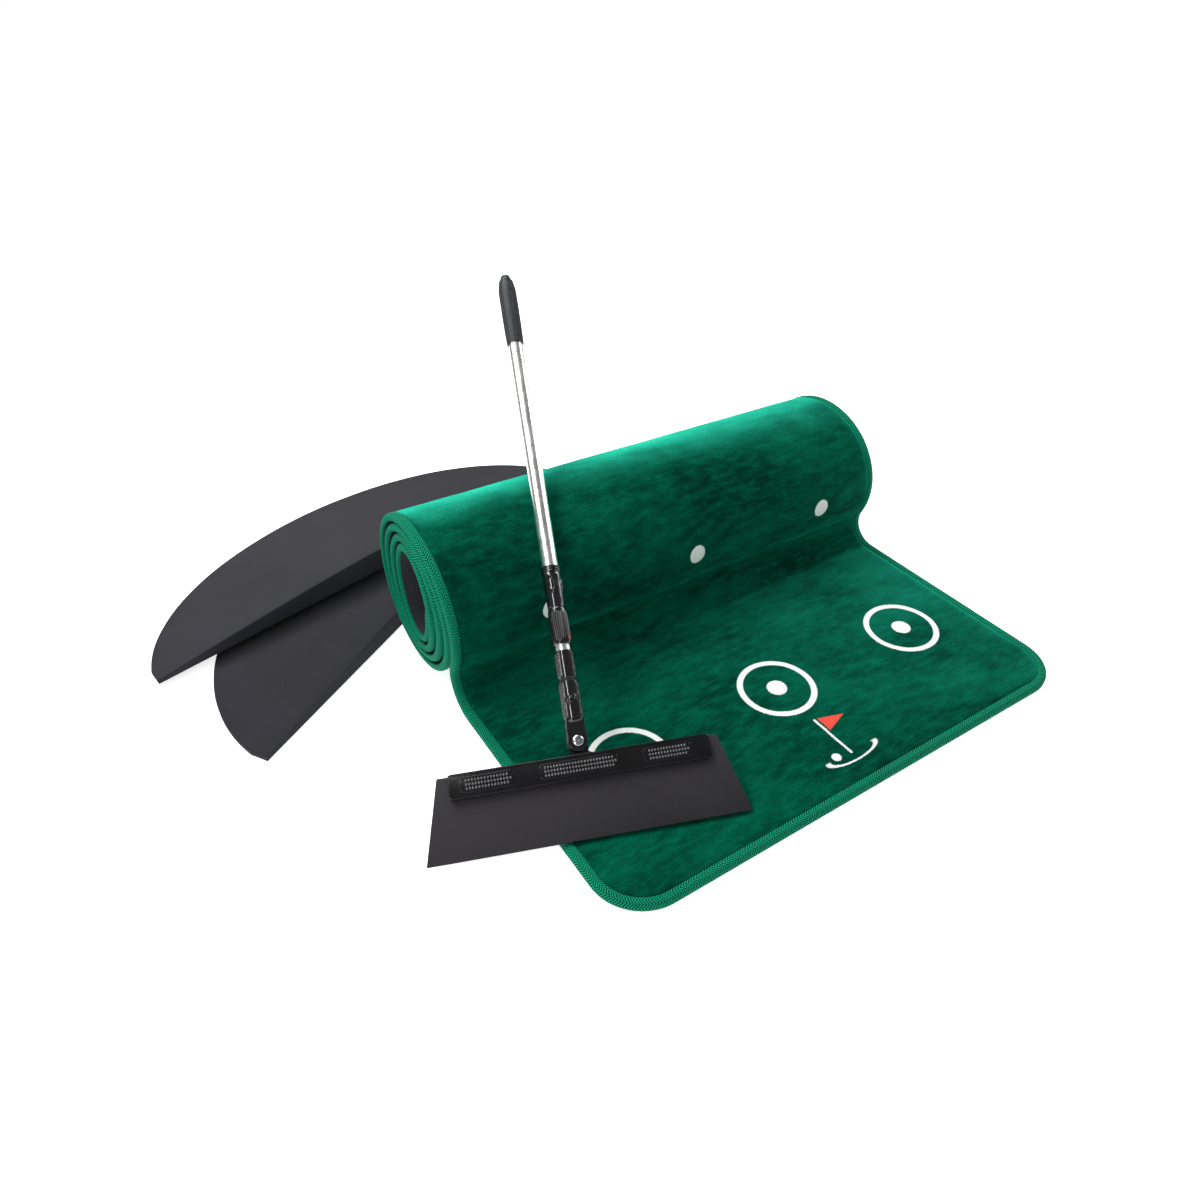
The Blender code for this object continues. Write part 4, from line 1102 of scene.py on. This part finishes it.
def carrier_shape(low, high):
    """Clamping shell along the blade's top, with its raised pads, end rib and ledge."""
    middle = CARRIER_MIDDLE
    bm = plate(rounded_box(0, middle, CARRIER_LENGTH, CARRIER_HEIGHT, 0.0045, 8), low, high, 0.0011, 3)
    shapes = []
    for place, length in zip(PAD_PLACES, PAD_LENGTHS):
        outline = rounded_box(place, middle, length, PAD_HEIGHT, 0.0062, 8)
        shapes.append(plate(outline, high - 0.001, high + PAD_RAISE, 0.0007, 3, only_top=True))
    end = CARRIER_LENGTH / 2 - 0.0042
    rib = rounded_box(end, middle, 0.0015, CARRIER_HEIGHT - 0.0055, 0.0007, 4)
    shapes.append(plate(rib, high - 0.001, high + 0.0008, 0.0004, 2, only_top=True))
    edge = middle + CARRIER_HEIGHT / 2 - 0.0021
    ledge = rounded_box(0, edge, CARRIER_LENGTH - 0.013, 0.0010, 0.0004, 3)
    shapes.append(plate(ledge, high - 0.001, high + 0.0005, 0.0003, 2, only_top=True))
    return joined(bm, *shapes)


def ridges_shape(high):
    """Three rows of small moulded ridges on each pad."""
    size = Matrix.Diagonal((0.00135, 0.00165, 0.0011, 1))
    bm = bmesh.new()
    for place, length in zip(PAD_PLACES, PAD_LENGTHS):
        for row in (-1, 0, 1):
            inset = 0.0055 if row else 0.0035
            count = int((length - 2 * inset) / RIDGE_PITCH)
            shift = 0.0 if row else 0.0018
            for i in range(count):
                x = place + (i - (count - 1) / 2) * RIDGE_PITCH + shift
                spot = Matrix.Translation((x, CARRIER_MIDDLE + row * 0.0047, high + PAD_RAISE - 0.0002))
                bmesh.ops.create_icosphere(bm, subdivisions=2, radius=1, matrix=spot @ size)
    return bm


def knob_shape():
    """Twist-lock knob: a waisted body with fine ribs in two broad bands."""
    chamber = KNOB_RADIUS - 0.0012
    floor = KNOB_START + 0.006
    r = KNOB_RADIUS
    profile = [(BORE, KNOB_START), (r - 0.0012, KNOB_START), (r - 0.0003, KNOB_START + 0.0008),
               (r, KNOB_START + 0.0030), (r, KNOB_END - 0.0022), (r - 0.0002, KNOB_END - 0.0010),
               (r - 0.0007, KNOB_END), (chamber, KNOB_END), (chamber, floor), (BORE, floor)]
    bm = turned(closer(profile, 0.0007), 216)

    def height_at(angle, height):
        share = (height - KNOB_START) / (KNOB_END - KNOB_START)
        body = 0.00035 * math.sin(math.pi * share) - 0.0002
        if not 0.08 < share < 0.90:
            return body
        fade = min(1.0, (share - 0.08) / 0.05, (0.90 - share) / 0.05)
        step = 0.5 + 0.5 * math.cos(2 * math.pi * height / 0.0024)
        rib = max(0.0, math.cos(36 * angle))
        return body + 0.00045 * fade * rib * (0.45 + 0.55 * step)

    return relieved(bm, height_at, chamber + 0.0004)


def nozzle_shape():
    """Tapered sleeve with four leaf-shaped hollows near its top."""
    stub = KNOB_RADIUS - 0.0012 - GAP
    low, top = NOZZLE_RADIUS, NOZZLE_TOP_RADIUS
    start = NOZZLE_START
    profile = [(BORE, start - 0.0230), (stub, start - 0.0230), (stub, start), (low - 0.0004, start),
               (low, start + 0.0006), (low, start + 0.0040), (low + 0.0003, start + 0.0120),
               (top - 0.0004, start + 0.0330), (top, NOZZLE_END - 0.0030), (top - 0.0004, NOZZLE_END),
               (TUBE_RADIUS + GAP, NOZZLE_END), (TUBE_RADIUS + GAP, UPPER_SOCKET), (BORE, UPPER_SOCKET)]
    bm = turned(closer(profile, 0.0008), 144)

    def height_at(angle, height):
        if height < start + 0.0004:
            return 0.0
        along = (height - start - 0.0300) / 0.0120
        turn = abs((angle + 0.25 + math.pi / 4) % (math.pi / 2) - math.pi / 4)
        wide = 0.36 * (1 - along * along)
        if abs(along) >= 1.15 or turn > wide + 0.10:
            return 0.0
        rim = max(0.0, 1 - abs(turn - wide) / 0.07)
        return 0.0004 * rim - 0.0007 * min(1.0, max(0.0, (wide - turn) / 0.07))

    return relieved(bm, height_at, stub + 0.0002)


def collar_shape():
    """Collar of three rounded ribs."""
    pitch = (COLLAR_END - COLLAR_START) / 3
    profile = [(TUBE_RADIUS + GAP, COLLAR_START)]
    for i in range(3):
        low = COLLAR_START + i * pitch
        profile += [(COLLAR_RADIUS - below, low + share * pitch) for below, share in COLLAR_RIB]
    profile += [(TUBE_RADIUS + GAP, low + COLLAR_RIB[-1][1] * pitch)]
    return turned(profile, 80)


def grip_shape():
    """Rubber sleeve, plain in front and pebbled at the sides, swelling towards its end."""
    long = GRIP_INNER_END - GRIP_START
    r, bore = GRIP_RADIUS, TUBE_RADIUS + GAP
    profile = [(bore, GRIP_START), (r - 0.0013, GRIP_START), (r - 0.0008, GRIP_START + 0.0004)]
    for k in range(17):
        swell = r - 0.0008 + 0.0008 * math.sin(0.5 * math.pi * min(1.0, k / 9))
        taper = 0.0023 * max(0.0, (k - 13) / 3) ** 2
        profile.append((swell - taper, GRIP_START + 0.0016 + (long - 0.0016) * k / 16))
    profile += [(bore, GRIP_INNER_END)]
    bm = turned(closer(profile, 0.00075), 112)

    def height_at(angle, height):
        share = (height - GRIP_START) / long
        plain = 0.50 + 0.36 * share
        turn = abs((angle + 0.45 + math.pi) % (2 * math.pi) - math.pi)
        if not (0.03 < share < 0.97 and plain < turn < 2.75):
            return 0.0
        fade = min(1.0, (turn - plain) / 0.10, (2.75 - turn) / 0.10)
        across = math.sin(math.pi * turn * r / 0.0031)
        along = math.sin(math.pi * height / 0.0036)
        return 0.0011 * fade * min(1.0, 1.8 * abs(across * along)) - 0.0006

    return relieved(bm, height_at, bore + 0.0004)


def cap_shape():
    """Plug at the grip's end, necked in and domed."""
    low = GRIP_END - CAP_LENGTH
    r = GRIP_RADIUS - 0.0027
    tip = 0.0072
    neck = CAP_LENGTH - 0.0050
    dome = [(tip * math.cos(a), low + neck + 0.0050 * math.sin(a))
            for a in np.linspace(0, math.pi / 2, 12)[:-1]]
    profile = [(0, low), (r - 0.0003, low), (r, low + 0.0005), (r - 0.0003, low + 0.25 * neck)]
    profile += [((r + tip) / 2 - 0.0002, low + 0.6 * neck)] + dome + [(0, low + CAP_LENGTH)]
    return turned(profile, 80)


# ---------------------------------------------------------------- operators

class PUTTING_OT_pile(bpy.types.Operator):
    """Roll out the velvet pile with its printed marks"""
    bl_idname = "putting.pile"
    bl_label = "Velvet Pile"

    def execute(self, context):
        looks = context.scene.putting_mat
        inset = BINDING_WIDTH + GAP
        low, high = BACKING_THICKNESS + GAP, MAT_THICKNESS
        bm = thick_layer(inset, low, high, 96, looks.nap_swell, PILE_SOFTENING)
        piece = finish_piece("velvet_pile", bm, velvet_material(), "mat", ["turf_pile"], sharp=50)
        return {"FINISHED"}


class PUTTING_OT_backing(bpy.types.Operator):
    """Lay the dark backing under the pile"""
    bl_idname = "putting.backing"
    bl_label = "Backing"

    def execute(self, context):
        inset = BINDING_WALL + GAP
        bm = thick_layer(inset, 0.0, BACKING_THICKNESS, 24)
        piece = finish_piece("mat_backing", bm, backing_material(), "mat", ["backing_layer"],
                             sharp=50)
        return {"FINISHED"}


class PUTTING_OT_tape(bpy.types.Operator):
    """Bind the edge of the mat with woven tape"""
    bl_idname = "putting.tape"
    bl_label = "Edge Tape"

    def execute(self, context):
        finish_piece("edge_tape", tape_shape(), tape_material(), "mat", ["edge_binding"],
                     sharp=60)
        return {"FINISHED"}


class PUTTING_OT_wedges(bpy.types.Operator):
    """Cut the two foam slope wedges"""
    bl_idname = "putting.wedges"
    bl_label = "Foam Wedges"

    def execute(self, context):
        lower, upper = wedge_poses()
        for name, matrix, seed in (("wedge_lower", lower, 1.0), ("wedge_upper", upper, 7.0)):
            bm = placed(wedge_shape(seed), matrix)
            piece = finish_piece("foam_" + name + "_cut", bm, foam_material(), name, ["foam_" + name],
                                 sharp=0)
        return {"FINISHED"}


class PUTTING_OT_head(bpy.types.Operator):
    """Make the rake's blade, its carrier and the carrier's fastenings"""
    bl_idname = "putting.head"
    bl_label = "Rake Head"

    def execute(self, context):
        shell = BLADE_THICKNESS / 2 + GAP
        finish_piece("blade", placed(blade_shape(), HEAD), blade_material(), "rake_head",
                     ["rake_blade"])
        front = carrier_shape(shell, shell + CARRIER_FRONT)
        finish_piece("carrier_front_shell", placed(front, HEAD), carrier_material(), "rake_head",
                     ["carrier_front"])
        ridges = placed(ridges_shape(shell + CARRIER_FRONT), HEAD)
        finish_piece("carrier_ridges", ridges, ridge_highlight_material(), "rake_head",
                     sharp=0)
        for name in ("carrier_back", "pivot_tongue"):
            dress_node(name, carrier_material())
        for name in [f"carrier_screw_{i}" for i in range(1, 7)] + ["pivot_nut"]:
            dress_node(name, steel_material())
        for name in ("pivot_washer_front", "pivot_washer_back"):
            dress_node(name, nylon_material())
        finish_piece("pivot_cross_screw", placed(pivot_screw_shape(), HEAD), steel_material(), "rake_head",
                     ["pivot_screw"], sharp=40)
        return {"FINISHED"}


class PUTTING_OT_lower_pole(bpy.types.Operator):
    """Make the clevis barrel, its button, the ferrule and the inner tube"""
    bl_idname = "putting.lower_pole"
    bl_label = "Lower Pole"

    def execute(self, context):
        depth = context.scene.putting_rake.knurl_depth
        shape = joined(barrel_shape(), ears_shape())
        finish_piece("clevis_barrel", placed(shape, POLE), plastic_material(), "pole_lower",
                     ["head_clevis"], sharp=30)
        r = FERRULE_RADIUS
        spigot = BORE - GAP
        seat = BARREL_SEAT + GAP
        socket = FERRULE_END - SOCKET_DEPTH
        profile = [(0.0072, seat), (spigot, seat), (spigot, RING_END + GAP), (r - 0.0004, RING_END + GAP),
                   (r, RING_END + 0.0008), (r, FERRULE_END - 0.0008), (r - 0.0005, FERRULE_END),
                   (BORE, FERRULE_END), (BORE, socket), (0.0072, socket)]
        bm = turned(closer(profile, 0.0005), 150)
        low, high = RING_END + 0.0020, FERRULE_END - 0.0020
        relieved(bm, lambda a, h: studs(a, h, low, high, depth), BORE + 0.0009)
        finish_piece("ferrule", placed(button_well(bm), POLE), plastic_material(), "pole_lower",
                     ["tube_ferrule"], sharp=30)
        ring = turned([(spigot + GAP, BARREL_END + GAP), (FERRULE_RADIUS - 0.0008, BARREL_END + GAP),
                       (FERRULE_RADIUS - 0.0008, RING_END), (spigot + GAP, RING_END)], 80)
        finish_piece("groove_band", placed(ring, POLE), grip_material(), "pole_lower",
                     ["groove_ring"])
        reach = UPPER_SOCKET + TRAVEL + HOLD
        tube = turned([(INNER_RADIUS - TUBE_WALL, socket + GAP), (INNER_RADIUS - 0.0002, socket + GAP),
                       (INNER_RADIUS, socket + 0.0005), (INNER_RADIUS, reach - 0.0004),
                       (INNER_RADIUS - 0.0003, reach), (INNER_RADIUS - TUBE_WALL, reach)], 80)
        finish_piece("inner_tube_polished", placed(tube, POLE), tube_material(), "pole_lower",
                     ["inner_tube"])
        dress_node("tube_plug", carrier_material())
        dress_node("button_spring", steel_material())
        return {"FINISHED"}


class PUTTING_OT_button(bpy.types.Operator):
    """Make the oval snap button"""
    bl_idname = "putting.button"
    bl_label = "Snap Button"

    def execute(self, context):
        base = 0.0075 * 0.70 - 0.0026
        top = BARREL_RADIUS + BUTTON_PROUD
        r = BUTTON_RADIUS
        dome = [(r * math.cos(a), top - 0.0014 + 0.0014 * math.sin(a))
                for a in np.linspace(0, math.pi / 2, 9)]
        profile = [(0, base), (r + 0.0009, base), (r + 0.0009, base + 0.0012), (r, base + 0.0012)]
        bm = turned(profile + dome[:-1] + [(0, top)], 48, "Z")
        placed(bm, POLE @ Matrix.Translation((0, BUTTON_PLACE, 0)))
        finish_piece("button", bm, plastic_material(), "snap_button",
                     ["snap_button"], sharp=40)
        return {"FINISHED"}


class PUTTING_OT_lock(bpy.types.Operator):
    """Make the twist-lock knob"""
    bl_idname = "putting.lock"
    bl_label = "Twist Lock"

    def execute(self, context):
        finish_piece("twist_knob", placed(knob_shape(), POLE), plastic_material(), "lock_knob",
                     ["lock_knob"], sharp=40)
        dress_node("lock_collet", nylon_material())
        dress_node("lock_mark", red_material())
        return {"FINISHED"}


class PUTTING_OT_upper_pole(bpy.types.Operator):
    """Make the tapered sleeve, the collar, the outer tube and the grip"""
    bl_idname = "putting.upper_pole"
    bl_label = "Upper Pole"

    def execute(self, context):
        finish_piece("tapered_sleeve", placed(nozzle_shape(), POLE), plastic_material(), "pole_upper",
                     ["taper_nozzle"], sharp=30)
        finish_piece("ribbed_collar", placed(collar_shape(), POLE), plastic_material(), "pole_upper",
                     ["collar_ring"])
        r, foot = TUBE_RADIUS, UPPER_SOCKET + GAP
        tube = turned([(r - TUBE_WALL, foot), (r - 0.0002, foot), (r, UPPER_SOCKET + 0.0005),
                       (r, GRIP_INNER_END), (r - TUBE_WALL, GRIP_INNER_END)], 88)
        finish_piece("outer_tube_polished", placed(tube, POLE), tube_material(), "pole_upper",
                     ["outer_tube"])
        finish_piece("pebbled_grip", placed(grip_shape(), POLE), grip_material(), "pole_upper",
                     ["grip_sleeve"], sharp=50)
        finish_piece("grip_end", placed(cap_shape(), POLE), grip_material(), "pole_upper",
                     ["grip_cap"], sharp=50)
        return {"FINISHED"}


def soft_light(name, place, aim, size, power):
    light = bpy.data.lights.new(name, "AREA")
    light.shape = "RECTANGLE"
    light.size, light.size_y = size
    light.energy = power
    holder = bpy.data.objects.new(name, light)
    bpy.context.scene.collection.objects.link(holder)
    holder.location = place
    holder.rotation_euler = (Vector(aim) - Vector(place)).to_track_quat("-Z", "Y").to_euler()


class PUTTING_OT_studio(bpy.types.Operator):
    """Set out the floor, the lights and the camera"""
    bl_idname = "putting.studio"
    bl_label = "Studio"

    def execute(self, context):
        scene = context.scene
        looks = scene.putting_studio
        bm = bmesh.new()
        bmesh.ops.create_grid(bm, x_segments=1, y_segments=1, size=20)
        mesh = bpy.data.meshes.new("floor")
        bm.to_mesh(mesh)
        bm.free()
        floor = bpy.data.objects.new("floor", mesh)
        scene.collection.objects.link(floor)
        floor.location.z = -0.0002
        material, _, shader = new_material("pale_floor", Roughness=0.85, Specular_IOR_Level=0.1)
        shader.inputs["Base Color"].default_value = (*looks.floor_color, 1.0)
        shader.inputs["Emission Color"].default_value = (1.0, 1.0, 1.0, 1.0)
        shader.inputs["Emission Strength"].default_value = FLOOR_GLOW
        mesh.materials.append(material)

        world = bpy.data.worlds.new("studio")
        scene.world = world
        world.use_nodes = True
        air = world.node_tree
        surround = air.nodes["Background"]
        seen = add_node(air, "LightPath").outputs["Is Camera Ray"]
        mirrored = add_node(air, "LightPath").outputs["Is Glossy Ray"]
        tone = add_node(air, "MapRange", {0: seen, 3: AIR_TONE, 4: 1.0}).outputs[0]
        tone = minus(air, tone, times(air, mirrored, MIRRORED_LOSS))
        air.links.new(tone, surround.inputs["Strength"])
        surround.inputs["Color"].default_value = (1.0, 1.0, 1.0, 1.0)

        for (name, *layout), power in zip(LIGHTS, (looks.key_power, looks.side_power,
                                                   looks.fill_power, looks.strip_power)):
            soft_light(name, *layout, power)

        yaw, pitch, roll = (math.radians(angle) for angle in CAMERA_ANGLES)
        level = math.cos(pitch)
        back = Vector((math.sin(yaw) * level, -math.cos(yaw) * level, math.sin(pitch)))
        side = (-back).cross(Vector((0, 0, 1))).normalized()
        rise = side.cross(-back)
        right = side * math.cos(roll) + rise * math.sin(roll)
        up = rise * math.cos(roll) - side * math.sin(roll)
        eye = bpy.data.cameras.new("studio_camera")
        eye.sensor_width = 36.0
        eye.lens = CAMERA_LENS
        camera = bpy.data.objects.new("studio_camera", eye)
        scene.collection.objects.link(camera)
        camera.matrix_world = frame_matrix(Vector(CAMERA_PLACE), right, up, back)
        scene.camera = camera
        scene.view_settings.view_transform = "Standard"
        return {"FINISHED"}


class PUTTING_PT_panel(bpy.types.Panel):
    """Lists the pieces in the order they are made"""
    bl_idname = "PUTTING_PT_panel"
    bl_label = "Practice Putting Mat"
    bl_space_type = "VIEW_3D"
    bl_region_type = "UI"
    bl_category = "Putting Mat"

    def draw(self, context):
        for operator in OPERATORS:
            self.layout.operator(operator.bl_idname)
        for name, group in SETTINGS.items():
            box = self.layout.box()
            for label in group.__annotations__:
                box.prop(getattr(context.scene, name), label)


OPERATORS = (PUTTING_OT_studio, PUTTING_OT_pile, PUTTING_OT_backing, PUTTING_OT_tape,
             PUTTING_OT_wedges, PUTTING_OT_head, PUTTING_OT_lower_pole, PUTTING_OT_button,
             PUTTING_OT_lock, PUTTING_OT_upper_pole)
SETTINGS = {"putting_mat": MatLooks, "putting_wedges": WedgeLooks, "putting_rake": RakeLooks,
            "putting_studio": StudioLooks}


def register():
    for name, group in SETTINGS.items():
        bpy.utils.register_class(group)
        setattr(bpy.types.Scene, name, PointerProperty(type=group))
    for operator in OPERATORS:
        bpy.utils.register_class(operator)
    bpy.utils.register_class(PUTTING_PT_panel)


def unregister():
    bpy.utils.unregister_class(PUTTING_PT_panel)
    for operator in reversed(OPERATORS):
        bpy.utils.unregister_class(operator)
    for name, group in SETTINGS.items():
        delattr(bpy.types.Scene, name)
        bpy.utils.unregister_class(group)


def plain(bounds):
    return [[float(value) for value in corner] for corner in bounds]


def main():
    register()
    for operator in OPERATORS:
        area, name = operator.bl_idname.split(".")
        getattr(getattr(bpy.ops, area), name)()


if __name__ == "__main__":
    main()
